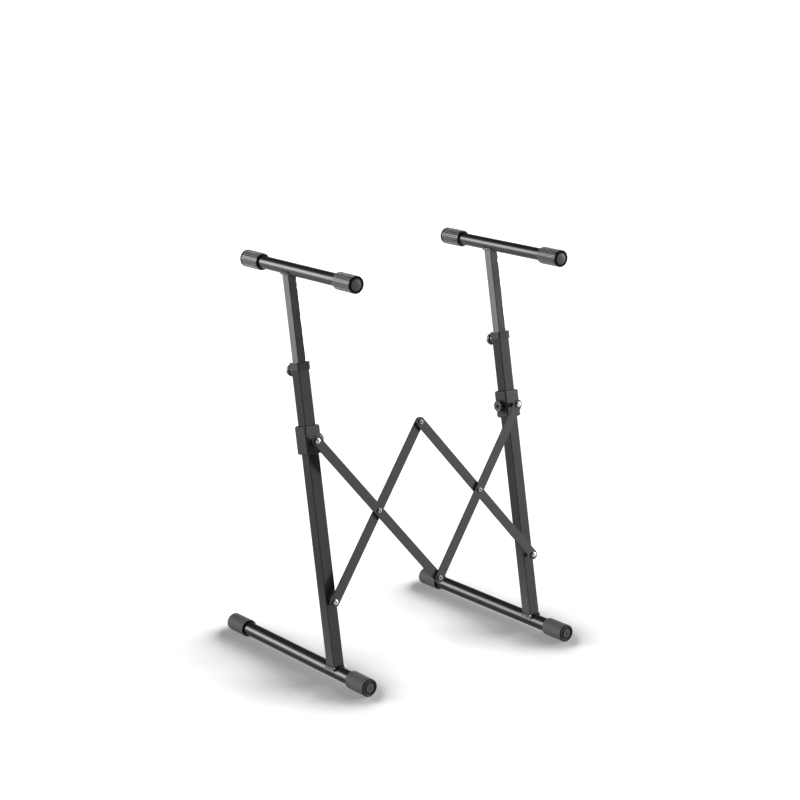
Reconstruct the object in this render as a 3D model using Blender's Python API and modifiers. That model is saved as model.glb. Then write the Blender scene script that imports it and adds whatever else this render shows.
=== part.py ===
"""Folding keyboard stand: two T-shaped side frames joined by a two-cell lazy tong.

Metres, +Z up. The origin is on the floor below the middle of the stand, +X is to the
right and +Y points away from the player. The uprights lean back, towards +Y. Places in
the leaning plane are given as x, a distance forward of it and a distance up along it.
"""

import math

import bmesh
import bpy
from mathutils import Matrix

# Fits
CLEARANCE = 0.0003  # between pieces that touch, slide or turn on each other
MERGE = 0.0001

# Layout of a side frame
FRAME_SPACING = 0.5193  # between the two uprights, as opened
LEAN = math.radians(11.56)  # of the uprights, from the vertical
BASE_FRONT = 0.1122  # from the upright's foot to the front end of the base
BASE_REAR = 0.3673
ARM_FRONT = 0.2245  # from the riser to the front end of the support arm
ARM_REAR = 0.1458
ARM_RISE = 0.1895  # from the upright's top to the arm's axis, as set
RISER_INSIDE = 0.288  # of the riser, below the upright's top, as set

# Tubes
BASE_TUBE_RADIUS = 0.014
BASE_TUBE_WALL = 0.0015
ARM_TUBE_RADIUS = 0.0125
ARM_TUBE_WALL = 0.0012
UPRIGHT_SIZE = 0.0254
UPRIGHT_WALL = 0.0012
UPRIGHT_CORNER = 0.0014
RISER_WALL = 0.0012
RISER_CORNER = 0.0014

# Push-on caps
BASE_CAP_LENGTH = 0.0575
BASE_CAP_WALL = 0.004
BASE_CAP_END = 0.004  # thickness of the closed end
BASE_CAP_ROUND = 0.0024
BASE_CAP_RING = 0.0144  # radius outside the sunk ring of the end face
BASE_CAP_DISC = 0.0092  # radius inside it
ARM_CAP_LENGTH = 0.0575
ARM_CAP_WALL = 0.0037  # below the grip ribs
ARM_CAP_END = 0.004
ARM_CAP_RIBS = 30
ARM_CAP_RIB_HEIGHT = 0.0008
ARM_CAP_BEAD = 0.0034  # width of the smooth rim round the end face
ARM_CAP_DISC = 0.0126  # radius of the end face's raised disc
CAP_STEP = 0.0011  # depth of the rings sunk in the end faces
CAP_EDGE = 0.0006

# Height clamp at the top of the upright
GUIDE_WALL = 0.0009  # sleeve between the upright and the riser
GUIDE_DEPTH = 0.033
SKIRT_WALL = 0.002
SKIRT_DEPTH = 0.012
SKIRT_CORNER = 0.0026
LIP = 0.0037
HEIGHT_SCREW_DROP = 0.012  # from the upright's top to the clamp screw
BOSS_RADIUS = 0.0105
BOSS_LENGTH = 0.0092
GLIDE_FLANGE = 0.004  # plug in the riser's lower end
GLIDE_SPIGOT = 0.012

# Clamp knobs and their screws
KNOB_RADIUS = 0.0124
KNOB_THICKNESS = 0.008
KNOB_NECK_RADIUS = 0.0055
KNOB_NECK_LENGTH = 0.0022
KNOB_FLUTES = 10
KNOB_FLUTE_DEPTH = 0.0008
KNOB_EDGE = 0.0012
KNOB_FACE = 0.002  # left in front of the screw
KNOB_EYE_RADIUS = 0.0022
SCREW_RADIUS = 0.003
SCREW_CHAMFER = 0.0008

# Lazy tong
BAR_PIVOTS = 0.4142  # between the end pivots of a bar
BAR_WIDTH = 0.0207
BAR_THICKNESS = 0.003
WASHER_THICKNESS = 0.0004
WASHER_RADIUS = 0.008
LOWER_PIVOT = 0.14225  # up the upright from the base's axis
UPRIGHT_HEADROOM = 0.06155  # from the folded tong's top pivot to the upright's top
BAR_OFF_COLLAR = 0.005
COLLAR_WALL = 0.0053
COLLAR_HEIGHT = 0.057
COLLAR_BELOW_PIVOT = 0.026
COLLAR_CORNER = 0.003
COLLAR_CHAMFER = 0.0026

# Pivot bolts
BOLT_RADIUS = 0.003
BOLT_TAIL = 0.0015  # past the nut
END_HEAD_RADIUS = 0.0059
END_HEAD_HEIGHT = 0.0028
MID_HEAD_RADIUS = 0.0048
MID_HEAD_HEIGHT = 0.0022
SOCKET_SHARE = 0.4  # of a bolt head's radius
SOCKET_DEPTH = 0.0014
NUT_RADIUS = 0.0058  # over the corners
NUT_THICKNESS = 0.004
THIN_NUT_THICKNESS = 0.003
SPACER_RADIUS = 0.0045

# Sides of the round shapes
TUBE_SIDES = 24
CAP_SIDES = 24
CORNER_STEPS = 3
BAR_END_STEPS = 10
BOLT_SIDES = 12
HOLE_SIDES = 12
POINTS_PER_FLUTE = 3

# Sizes that follow from the ones above
BASE_CAP_RADIUS = BASE_TUBE_RADIUS + CLEARANCE + BASE_CAP_WALL
ARM_CAP_RADIUS = ARM_TUBE_RADIUS + CLEARANCE + ARM_CAP_WALL
UPRIGHT_BORE = UPRIGHT_SIZE - 2 * UPRIGHT_WALL
UPRIGHT_BORE_CORNER = max(UPRIGHT_CORNER - UPRIGHT_WALL, CLEARANCE * 2)
GUIDE_SIZE = UPRIGHT_BORE - 2 * CLEARANCE
GUIDE_CORNER = UPRIGHT_BORE_CORNER - CLEARANCE
RISER_SIZE = GUIDE_SIZE - 2 * (GUIDE_WALL + CLEARANCE)
RISER_BORE = RISER_SIZE - 2 * RISER_WALL
RISER_BORE_CORNER = max(RISER_CORNER - RISER_WALL, CLEARANCE * 2)
SLIDING_SIZE = UPRIGHT_SIZE + 2 * CLEARANCE
SLIDING_CORNER = UPRIGHT_CORNER + CLEARANCE
SKIRT_SIZE = SLIDING_SIZE + 2 * SKIRT_WALL
COLLAR_SIZE = SLIDING_SIZE + 2 * COLLAR_WALL
HOLE_RADIUS = BOLT_RADIUS + CLEARANCE
SCREW_HOLE_RADIUS = SCREW_RADIUS + CLEARANCE

BASE_AXIS = BASE_CAP_RADIUS * math.cos(math.pi / CAP_SIDES)  # one facet lies on the floor
FOOT_Y = (BASE_FRONT - BASE_REAR) / 2
UPRIGHT_TOP = LOWER_PIVOT + BAR_PIVOTS + UPRIGHT_HEADROOM
HEIGHT_SCREW = UPRIGHT_TOP - HEIGHT_SCREW_DROP
RISER_FOOT = UPRIGHT_TOP - RISER_INSIDE
ARM_UP = UPRIGHT_TOP + ARM_RISE
FOLD = math.acos(FRAME_SPACING / 2 / BAR_PIVOTS)  # of each bar, from the level
UPPER_PIVOT = LOWER_PIVOT + BAR_PIVOTS * math.sin(FOLD)
CROSSING = (LOWER_PIVOT + UPPER_PIVOT) / 2

LAYER = BAR_THICKNESS + WASHER_THICKNESS + 2 * CLEARANCE
BACK_LAYER = COLLAR_SIZE / 2 + BAR_OFF_COLLAR  # rear face of the rearmost bar
MIDDLE_LAYER = BACK_LAYER + LAYER
FRONT_LAYER = MIDDLE_LAYER + LAYER

# Directions: the rotation that turns a shape's own Z axis that way
FORWARD = Matrix.Rotation(math.radians(90), 4, "X")
REARWARD = Matrix.Rotation(math.radians(-90), 4, "X")

LEANING = Matrix.Translation((0, FOOT_Y, BASE_AXIS)) @ Matrix.Rotation(-LEAN, 4, "X")


def leaning(x, forward, up):
    """The frame at a spot of the leaning plane; its Z axis runs up along the uprights."""
    return LEANING @ Matrix.Translation((x, -forward, up))


def sideways(direction):
    """The rotation that turns a shape's Z axis to +X, or to -X where direction is -1."""
    return Matrix.Rotation(math.radians(90 * direction), 4, "Y")


# Scene and collections

for old in list(bpy.data.objects):
    bpy.data.objects.remove(old)

STAND = bpy.data.collections.new("keyboard_stand")
TOOLS = bpy.data.collections.new("cutters")
for collection in (STAND, TOOLS):
    bpy.context.scene.collection.children.link(collection)


def finish(name, colour, roughness, metallic):
    """A plain painted, plastic or metal finish."""
    material = bpy.data.materials.new(name)
    material.use_nodes = True
    shader = material.node_tree.nodes["Principled BSDF"]
    shader.inputs["Base Color"].default_value = (*colour, 1)
    shader.inputs["Roughness"].default_value = roughness
    shader.inputs["Metallic"].default_value = metallic
    material.diffuse_color = (*colour, 1)
    return material


GLOSS_BLACK = finish("gloss_black_enamel", (0.022, 0.023, 0.024), 0.28, 0.0)
SATIN_BLACK = finish("satin_black_powder_coat", (0.045, 0.047, 0.048), 0.5, 0.0)
BAR_BLACK = finish("black_coated_bar", (0.05, 0.05, 0.051), 0.55, 0.0)
BASE_RUBBER = finish("grey_base_cap_rubber", (0.085, 0.088, 0.09), 0.7, 0.0)
GRIP_RUBBER = finish("ribbed_arm_cap_rubber", (0.06, 0.065, 0.067), 0.6, 0.0)
COLLAR_PLASTIC = finish("black_collar_nylon", (0.05, 0.052, 0.053), 0.55, 0.0)
KNOB_PLASTIC = finish("black_knob_plastic", (0.06, 0.06, 0.062), 0.45, 0.0)
ZINC = finish("bright_zinc_plate", (0.62, 0.62, 0.6), 0.3, 1.0)
NYLON = finish("black_nylon", (0.03, 0.03, 0.03), 0.5, 0.0)


# Outlines and profiles


def arc(centre, radius, start, end, steps):
    """Points on an arc, with both ends, from start to end in degrees."""
    angles = [math.radians(start + (end - start) * i / steps) for i in range(steps + 1)]
    return [(centre[0] + radius * math.cos(a), centre[1] + radius * math.sin(a)) for a in angles]


def circle(radius, sides, centre=(0, 0)):
    """A closed outline with a flat side at the top, bottom, left and right."""
    half = 180 / sides
    return arc(centre, radius, half, 360 - half, sides - 1)


def rounded_square(size, corner):
    """A closed square outline with round corners."""
    reach = size / 2 - corner
    points = []
    for quarter, (x, y) in enumerate(((1, 1), (-1, 1), (-1, -1), (1, -1))):
        start = 90 * quarter
        points += arc((x * reach, y * reach), corner, start, start + 90, CORNER_STEPS)
    return points


def ribbed_circle(radius, height, ribs):
    """A closed outline of flat-topped ribs, one of them at the top."""
    pitch = 2 * math.pi / ribs
    corners = ((-0.5, 0), (-0.22, height), (0.22, height))
    points = []
    for rib in range(ribs):
        for share, rise in corners:
            angle = math.pi / 2 + pitch * (rib + share)
            points.append(((radius + rise) * math.cos(angle), (radius + rise) * math.sin(angle)))
    return points


def fluted_circle(radius, depth, flutes):
    """A closed outline that dips by depth at each flute."""
    points = []
    for step in range(flutes * POINTS_PER_FLUTE):
        angle = 2 * math.pi * step / (flutes * POINTS_PER_FLUTE)
        reach = radius - depth * (1 - math.cos(flutes * angle)) / 2
        points.append((reach * math.cos(angle), reach * math.sin(angle)))
    return points


# Meshes


def finished_mesh(shape):
    """The welded mesh of a shape's evaluated form, shaded smooth; the shape is removed."""
    STAND.objects.link(shape)
    graph = bpy.context.evaluated_depsgraph_get()
    mesh = bpy.data.meshes.new_from_object(shape.evaluated_get(graph))
    bpy.data.objects.remove(shape)
    welded = bmesh.new()
    welded.from_mesh(mesh)
    bmesh.ops.remove_doubles(welded, verts=welded.verts, dist=MERGE / 10)
    welded.to_mesh(mesh)
    welded.free()
    mesh.shade_smooth()
    mesh.set_sharp_from_angle(angle=math.radians(32))
    return mesh


def prism(outlines, low, high, edge=0.0):
    """Flat outlines, the first one less the others, raised from low to high along Z.

    edge is the width of the chamfer along the rims of both ends.
    """
    curve = bpy.data.curves.new("outline", "CURVE")
    curve.dimensions = "2D"
    curve.fill_mode = "BOTH"
    curve.extrude = (high - low) / 2 - edge
    curve.bevel_depth = edge
    curve.bevel_resolution = 0
    curve.offset = -edge
    for outline in outlines:
        spline = curve.splines.new("POLY")
        spline.points.add(len(outline) - 1)
        for point, (x, y) in zip(spline.points, outline):
            point.co = (x, y, 0, 1)
        spline.use_cyclic_u = True
    mesh = finished_mesh(bpy.data.objects.new("outline", curve))
    mesh.transform(Matrix.Translation((0, 0, (low + high) / 2)))
    return mesh


def turned(profile, sides):
    """A profile of (radius, height) points, down its outer side, spun about Z."""
    line = bpy.data.meshes.new("profile")
    spokes = [(index, index + 1) for index in range(len(profile) - 1)]
    line.from_pydata([(radius, 0, height) for radius, height in profile], spokes, [])
    shape = bpy.data.objects.new("profile", line)
    screw = shape.modifiers.new("turn", "SCREW")
    screw.axis = "Z"
    screw.steps = sides
    screw.render_steps = sides
    screw.use_merge_vertices = True
    screw.merge_threshold = MERGE
    return finished_mesh(shape)


# Objects


def hang(child, parent):
    """Parent an object where it stands."""
    bpy.context.view_layer.update()
    child.parent = parent
    child.matrix_parent_inverse = parent.matrix_world.inverted()


def joint(name, matrix, parent=None):
    """An empty on a joint's axis, which carries the pieces that the joint moves."""
    empty = bpy.data.objects.new(name + "_joint", None)
    empty.empty_display_size = BAR_WIDTH
    STAND.objects.link(empty)
    empty.matrix_world = matrix
    if parent:
        hang(empty, parent)
    return empty


def piece(name, mesh, material, matrix, body):
    """One sub-part, placed and hung on the joint that moves it."""
    mesh.name = name
    mesh.materials.clear()
    mesh.materials.append(material)
    part = bpy.data.objects.new(name, mesh)
    STAND.objects.link(part)
    part.matrix_world = matrix
    hang(part, body)
    return part


def shape_with(part, operation, label, mesh, matrix):
    """Cut a shape out of a part, or join it on."""
    tool = bpy.data.objects.new(f"{part.name}_{label}", mesh)
    TOOLS.objects.link(tool)
    tool.matrix_world = matrix
    tool.hide_render = True
    tool.display_type = "WIRE"
    hang(tool, part)
    change = part.modifiers.new(label, "BOOLEAN")
    change.operation = operation
    change.object = tool


def cut(part, label, mesh, matrix):
    shape_with(part, "DIFFERENCE", label, mesh, matrix)


def join(part, label, mesh, matrix):
    shape_with(part, "UNION", label, mesh, matrix)


# Caps


def base_cap():
    """Smooth push-on cap, mouth at the origin; its end face has a sunk ring."""
    bore = BASE_TUBE_RADIUS + CLEARANCE
    outer = BASE_CAP_RADIUS
    end = BASE_CAP_LENGTH
    rounding = (outer - BASE_CAP_ROUND, end - BASE_CAP_ROUND)
    profile = [
        (0, end - CAP_STEP),
        (BASE_CAP_DISC / 4, end - CAP_EDGE / 2),
        (BASE_CAP_DISC, end - CAP_EDGE / 2),
        (BASE_CAP_DISC + CAP_EDGE, end - CAP_STEP),
        (BASE_CAP_RING, end - CAP_STEP),
        *arc(rounding, BASE_CAP_ROUND, 90, 0, 2),
        (outer, CAP_EDGE),
        (outer - CAP_EDGE, 0),
        (bore, 0),
        (bore, end - BASE_CAP_END),
        (0, end - BASE_CAP_END),
    ]
    return turned(profile, CAP_SIDES)


def arm_cap_core():
    """Turned body of a grip cap, mouth at the origin, with a beaded rim round its end."""
    bore = ARM_TUBE_RADIUS + CLEARANCE
    wall = ARM_CAP_RADIUS - ARM_CAP_RIB_HEIGHT / 2
    crest = ARM_CAP_RADIUS + ARM_CAP_RIB_HEIGHT
    end = ARM_CAP_LENGTH
    groove = ARM_CAP_DISC + CAP_EDGE
    bead = (crest - ARM_CAP_BEAD / 2, end - ARM_CAP_BEAD / 2 - CAP_EDGE / 2)
    profile = [
        (0, end - CAP_EDGE / 2),
        (ARM_CAP_DISC / 8, end),
        (ARM_CAP_DISC, end),
        (ARM_CAP_DISC, end - CAP_STEP),
        (groove, end - CAP_STEP),
        *arc(bead, ARM_CAP_BEAD / 2, 150, -60, 3),
        (wall, end - ARM_CAP_BEAD - CAP_EDGE),
        (wall, CAP_EDGE),
        (wall - CAP_EDGE, 0),
        (bore, 0),
        (bore, end - ARM_CAP_END),
        (0, end - ARM_CAP_END),
    ]
    return turned(profile, CAP_SIDES)


def arm_cap_ribs():
    """Sleeve of lengthwise grip ribs, from just inside the mouth to the bead."""
    middle_of_wall = ARM_CAP_RADIUS - ARM_CAP_WALL / 2
    outlines = [
        ribbed_circle(ARM_CAP_RADIUS, ARM_CAP_RIB_HEIGHT, ARM_CAP_RIBS),
        circle(middle_of_wall, HOLE_SIDES),
    ]
    return prism(outlines, CAP_EDGE, ARM_CAP_LENGTH - ARM_CAP_BEAD)


def add_caps(side, x, frame, riser):
    """The four push-on caps of one side."""
    half_turn = Matrix.Rotation(math.pi / CAP_SIDES, 4, "Z")  # brings a facet to the bottom
    arm_y = FOOT_Y + ARM_UP * math.sin(LEAN)
    arm_z = BASE_AXIS + ARM_UP * math.cos(LEAN)
    ends = (
        ("front", FORWARD, -1, BASE_FRONT, ARM_FRONT),
        ("rear", REARWARD, 1, BASE_REAR, ARM_REAR),
    )
    for end, turn, way, base_reach, arm_reach in ends:
        mouth = FOOT_Y + way * (base_reach - BASE_CAP_LENGTH)
        at = Matrix.Translation((x, mouth, BASE_AXIS)) @ turn @ half_turn
        piece(f"{side}_base_cap_{end}", base_cap(), BASE_RUBBER, at, frame)

        mouth = arm_y + way * (arm_reach - ARM_CAP_LENGTH)
        at = Matrix.Translation((x, mouth, arm_z)) @ turn
        cap = piece(f"{side}_arm_cap_{end}", arm_cap_core(), GRIP_RUBBER, at @ half_turn, riser)
        join(cap, "ribs", arm_cap_ribs(), at)


# Side frames


def add_base_tube(side, x, frame):
    rings = [
        circle(BASE_TUBE_RADIUS, TUBE_SIDES),
        circle(BASE_TUBE_RADIUS - BASE_TUBE_WALL, TUBE_SIDES),
    ]
    inset = BASE_CAP_END + CLEARANCE
    mesh = prism(rings, inset - BASE_FRONT, BASE_REAR - inset)
    at = Matrix.Translation((x, FOOT_Y, BASE_AXIS)) @ REARWARD
    piece(f"{side}_base_tube", mesh, GLOSS_BLACK, at, frame)


def add_upright(side, x, frame):
    """Square tube, saddle-cut to sit on the base tube."""
    rings = [
        rounded_square(UPRIGHT_SIZE, UPRIGHT_CORNER),
        rounded_square(UPRIGHT_BORE, UPRIGHT_BORE_CORNER),
    ]
    mesh = prism(rings, 0, UPRIGHT_TOP)
    upright = piece(f"{side}_upright", mesh, SATIN_BLACK, leaning(x, 0, 0), frame)

    saddle = prism([circle(BASE_TUBE_RADIUS + CLEARANCE, TUBE_SIDES)], -UPRIGHT_SIZE, UPRIGHT_SIZE)
    cut(upright, "saddle", saddle, Matrix.Translation((x, FOOT_Y, BASE_AXIS)) @ REARWARD)
    bolt_hole = prism([circle(HOLE_RADIUS, HOLE_SIDES)], -UPRIGHT_SIZE, UPRIGHT_SIZE)
    cut(upright, "bolt_hole", bolt_hole, leaning(x, 0, LOWER_PIVOT) @ FORWARD)
    screw_hole = prism([circle(SCREW_HOLE_RADIUS, HOLE_SIDES)], 0, UPRIGHT_SIZE)
    cut(upright, "screw_hole", screw_hole, leaning(x, 0, HEIGHT_SCREW) @ REARWARD)


def add_height_collar(side, x, frame):
    """Moulded clamp on the upright's top: skirt, lip, guide sleeve and screw boss."""
    top = UPRIGHT_TOP + CLEARANCE + LIP
    boss_reach = SLIDING_SIZE / 2 + BOSS_LENGTH
    block = prism([rounded_square(SKIRT_SIZE, SKIRT_CORNER)], UPRIGHT_TOP - SKIRT_DEPTH, top, CAP_EDGE)
    at = leaning(x, 0, 0)
    collar = piece(f"{side}_height_collar", block, COLLAR_PLASTIC, at, frame)

    at_screw = leaning(x, 0, HEIGHT_SCREW) @ REARWARD
    boss = prism([circle(BOSS_RADIUS, CAP_SIDES)], UPRIGHT_SIZE / 4, boss_reach)
    join(collar, "boss", boss, at_screw)
    tube_room = prism(
        [rounded_square(SLIDING_SIZE, SLIDING_CORNER)],
        HEIGHT_SCREW - 2 * BOSS_RADIUS,
        UPRIGHT_TOP + CLEARANCE,
    )
    cut(collar, "tube_room", tube_room, at)
    sleeve = prism([rounded_square(GUIDE_SIZE, GUIDE_CORNER)], UPRIGHT_TOP - GUIDE_DEPTH, top - LIP / 2)
    join(collar, "sleeve", sleeve, at)
    bore = rounded_square(RISER_SIZE + 2 * CLEARANCE, RISER_CORNER + CLEARANCE)
    cut(collar, "bore", prism([bore], UPRIGHT_TOP - 2 * GUIDE_DEPTH, top + LIP), at)
    screw_hole = prism([circle(SCREW_HOLE_RADIUS, HOLE_SIDES)], UPRIGHT_SIZE / 4, 2 * boss_reach)
    cut(collar, "screw_hole", screw_hole, at_screw)


def add_riser(side, x, riser):
    """Inner square tube with the support arm across its top and a glide in its foot."""
    arm_at = leaning(x, 0, ARM_UP)
    arm_at = Matrix.Translation(arm_at.to_translation()) @ REARWARD
    rings = [
        rounded_square(RISER_SIZE, RISER_CORNER),
        rounded_square(RISER_BORE, RISER_BORE_CORNER),
    ]
    tube = piece(f"{side}_riser", prism(rings, RISER_FOOT, ARM_UP), SATIN_BLACK, leaning(x, 0, 0), riser)
    saddle = prism([circle(ARM_TUBE_RADIUS + CLEARANCE, TUBE_SIDES)], -RISER_SIZE, RISER_SIZE)
    cut(tube, "saddle", saddle, arm_at)

    rings = [
        circle(ARM_TUBE_RADIUS, TUBE_SIDES),
        circle(ARM_TUBE_RADIUS - ARM_TUBE_WALL, TUBE_SIDES),
    ]
    inset = ARM_CAP_END + CLEARANCE
    arm = prism(rings, inset - ARM_FRONT, ARM_REAR - inset)
    piece(f"{side}_support_arm", arm, GLOSS_BLACK, arm_at, riser)

    flange_top = RISER_FOOT - CLEARANCE
    flange = prism([rounded_square(GUIDE_SIZE, GUIDE_CORNER)], flange_top - GLIDE_FLANGE, flange_top)
    glide = piece(f"{side}_riser_glide", flange, NYLON, leaning(x, 0, 0), riser)
    spigot_size = RISER_BORE - 2 * CLEARANCE
    spigot_corner = RISER_BORE_CORNER - CLEARANCE
    spigot_low = flange_top - GLIDE_FLANGE / 2
    spigot = prism([rounded_square(spigot_size, spigot_corner)], spigot_low, RISER_FOOT + GLIDE_SPIGOT)
    join(glide, "spigot", spigot, leaning(x, 0, 0))


def add_tong_collar(side, x, inward, collar):
    """Collar that slides on the upright and carries a top pivot of the tong."""
    low = UPPER_PIVOT - COLLAR_BELOW_PIVOT
    high = low + COLLAR_HEIGHT
    at = leaning(x, 0, 0)
    block = prism([rounded_square(COLLAR_SIZE, COLLAR_CORNER)], low, high, COLLAR_CHAMFER)
    body = piece(f"{side}_tong_collar", block, COLLAR_PLASTIC, at, collar)
    bore = rounded_square(SLIDING_SIZE, SLIDING_CORNER)
    cut(body, "bore", prism([bore], low - COLLAR_CHAMFER, high + COLLAR_CHAMFER), at)
    bolt_hole = prism([circle(HOLE_RADIUS, HOLE_SIDES)], 0, COLLAR_SIZE)
    cut(body, "bolt_hole", bolt_hole, leaning(x, 0, UPPER_PIVOT) @ FORWARD)
    screw_hole = prism([circle(SCREW_HOLE_RADIUS, HOLE_SIDES)], 0, COLLAR_SIZE)
    cut(body, "screw_hole", screw_hole, leaning(x, 0, UPPER_PIVOT) @ sideways(inward))


# Clamp knobs


def add_clamp_knob(name, seat, reach, body):
    """Knob on its screw; the neck starts at the seat and the screw reaches below it."""
    face = KNOB_NECK_LENGTH + KNOB_THICKNESS
    grip = prism(
        [fluted_circle(KNOB_RADIUS, KNOB_FLUTE_DEPTH, KNOB_FLUTES)], KNOB_NECK_LENGTH, face, KNOB_EDGE
    )
    knob = piece(f"{name}_knob", grip, KNOB_PLASTIC, seat, body)
    neck = prism([circle(KNOB_NECK_RADIUS, BOLT_SIDES)], 0, face / 2)
    join(knob, "neck", neck, seat)
    socket_end = face - KNOB_FACE
    socket = turned(
        [
            (0, 2 * face),
            (KNOB_EYE_RADIUS, 2 * face),
            (KNOB_EYE_RADIUS, socket_end),
            (SCREW_HOLE_RADIUS, socket_end),
            (SCREW_HOLE_RADIUS, -face),
            (0, -face),
        ],
        HOLE_SIDES,
    )
    cut(knob, "socket", socket, seat)
    screw = turned(
        [
            (0, socket_end - CLEARANCE),
            (SCREW_RADIUS, socket_end - CLEARANCE),
            (SCREW_RADIUS, SCREW_CHAMFER - reach),
            (SCREW_RADIUS - SCREW_CHAMFER, -reach),
            (0, -reach),
        ],
        HOLE_SIDES,
    )
    piece(f"{name}_screw", screw, ZINC, seat, body)


# Pivots of the tong


def bolt(head_radius, head_height, length):
    """Round-headed bolt with a socket; the head stands on the origin."""
    socket = head_radius * SOCKET_SHARE
    profile = [
        (0, head_height - SOCKET_DEPTH),
        (socket, head_height - SOCKET_DEPTH),
        (socket, head_height),
        (head_radius * 0.72, head_height),
        (head_radius, head_height / 2),
        (head_radius, 0),
        (BOLT_RADIUS, 0),
        (BOLT_RADIUS, -length),
        (0, -length),
    ]
    return turned(profile, BOLT_SIDES)


def nut(thickness):
    """Hexagon nut that stands on the origin."""
    hexagon = arc((0, 0), NUT_RADIUS, 0, 300, 5)
    return prism([hexagon, circle(HOLE_RADIUS, HOLE_SIDES)], 0, thickness)


def add_end_pivot(name, x, up, seat, bar_back, tail, body):
    """Bolt that carries a bar's end in front of a tube or collar whose face is at seat.

    tail is how far behind the leaning plane's own axis the bolt ends.
    """
    bar_front = bar_back + BAR_THICKNESS
    head = bar_front + CLEARANCE
    mesh = bolt(END_HEAD_RADIUS, END_HEAD_HEIGHT, head + tail)
    piece(f"{name}_bolt", mesh, ZINC, leaning(x, head, up) @ FORWARD, body)
    nut_at = seat + CLEARANCE
    piece(f"{name}_thin_nut", nut(THIN_NUT_THICKNESS), ZINC, leaning(x, nut_at, up) @ FORWARD, body)
    spacer_low = nut_at + THIN_NUT_THICKNESS + CLEARANCE
    ring = [circle(SPACER_RADIUS, BOLT_SIDES), circle(HOLE_RADIUS, HOLE_SIDES)]
    spacer = prism(ring, spacer_low, bar_back - CLEARANCE)
    piece(f"{name}_spacer", spacer, NYLON, leaning(x, 0, up) @ FORWARD, body)


def add_bar_pivot(name, x, up, rear_bar, body):
    """Bolt, washer and nut that join two bars; rear_bar is the rear one's back face."""
    front_bar = rear_bar + LAYER
    head = front_bar + BAR_THICKNESS + CLEARANCE
    nut_low = rear_bar - CLEARANCE - NUT_THICKNESS
    mesh = bolt(MID_HEAD_RADIUS, MID_HEAD_HEIGHT, head - nut_low + BOLT_TAIL / 3)
    piece(f"{name}_bolt", mesh, ZINC, leaning(x, head, up) @ FORWARD, body)
    ring = [circle(WASHER_RADIUS, BOLT_SIDES), circle(HOLE_RADIUS, HOLE_SIDES)]
    washer_low = rear_bar + BAR_THICKNESS + CLEARANCE
    washer = prism(ring, washer_low, washer_low + WASHER_THICKNESS)
    piece(f"{name}_washer", washer, NYLON, leaning(x, 0, up) @ FORWARD, body)
    piece(f"{name}_nut", nut(NUT_THICKNESS), ZINC, leaning(x, nut_low, up) @ FORWARD, body)


def add_bar(name, x, up, layer, angle, body):
    """Flat bar with round ends and three holes, from its first pivot at x, up."""
    end = BAR_WIDTH / 2
    outline = arc((0, 0), end, 90, 270, BAR_END_STEPS)
    outline += arc((BAR_PIVOTS, 0), end, -90, 90, BAR_END_STEPS)
    holes = [circle(HOLE_RADIUS, HOLE_SIDES, (BAR_PIVOTS * share, 0)) for share in (0, 0.5, 1)]
    mesh = prism([outline, *holes], layer, layer + BAR_THICKNESS)
    at = leaning(x, 0, up) @ FORWARD @ Matrix.Rotation(angle, 4, "Z")
    piece(name, mesh, BAR_BLACK, at, body)


# Joints, each hung on the one that carries it

LEFT = -FRAME_SPACING / 2
RIGHT = FRAME_SPACING / 2

left_frame = joint("left_frame", Matrix.Translation((LEFT, FOOT_Y, BASE_AXIS)))
bar_b = joint("bar_b", leaning(LEFT, 0, LOWER_PIVOT), left_frame)
bar_a = joint("bar_a", leaning(LEFT / 2, 0, CROSSING), bar_b)
left_collar = joint("left_collar", leaning(LEFT, 0, UPPER_PIVOT), bar_a)
bar_c = joint("bar_c", leaning(0, 0, UPPER_PIVOT), bar_b)
bar_d = joint("bar_d", leaning(RIGHT / 2, 0, CROSSING), bar_c)
right_frame = joint("right_frame", leaning(RIGHT, 0, LOWER_PIVOT), bar_c)
right_collar = joint("right_collar", leaning(RIGHT, 0, UPPER_PIVOT), bar_d)

sides = (
    ("left", LEFT, 1, left_frame, left_collar, BACK_LAYER, MIDDLE_LAYER),
    ("right", RIGHT, -1, right_frame, right_collar, MIDDLE_LAYER, FRONT_LAYER),
)
for side, x, inward, frame, collar, lower_bar, upper_bar in sides:
    riser = joint(f"{side}_riser", leaning(x, 0, UPRIGHT_TOP), frame)
    height_clamp = joint(f"{side}_height_knob", leaning(x, 0, HEIGHT_SCREW), frame)
    width_clamp = joint(f"{side}_width_knob", leaning(x, 0, UPPER_PIVOT), collar)

    add_base_tube(side, x, frame)
    add_upright(side, x, frame)
    add_height_collar(side, x, frame)
    add_riser(side, x, riser)
    add_caps(side, x, frame, riser)
    add_tong_collar(side, x, inward, collar)

    boss_face = SLIDING_SIZE / 2 + BOSS_LENGTH + CLEARANCE
    behind = leaning(x, -boss_face, HEIGHT_SCREW) @ REARWARD
    reach = boss_face - RISER_SIZE / 2 - CLEARANCE
    add_clamp_knob(f"{side}_height", behind, reach, height_clamp)
    collar_face = COLLAR_SIZE / 2 + CLEARANCE
    beside = leaning(x + inward * collar_face, 0, UPPER_PIVOT) @ sideways(inward)
    reach = collar_face - UPRIGHT_SIZE / 2 - CLEARANCE
    add_clamp_knob(f"{side}_width", beside, reach, width_clamp)

    rear_face = UPRIGHT_SIZE / 2 + CLEARANCE
    past_nut = rear_face + NUT_THICKNESS + BOLT_TAIL
    add_end_pivot(f"{side}_lower", x, LOWER_PIVOT, UPRIGHT_SIZE / 2, lower_bar, past_nut, frame)
    at_rear = leaning(x, -rear_face, LOWER_PIVOT) @ REARWARD
    piece(f"{side}_lower_rear_nut", nut(NUT_THICKNESS), ZINC, at_rear, frame)
    in_wall = -(SLIDING_SIZE / 2 + CLEARANCE)
    add_end_pivot(f"{side}_collar", x, UPPER_PIVOT, COLLAR_SIZE / 2, upper_bar, in_wall, collar)

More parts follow.
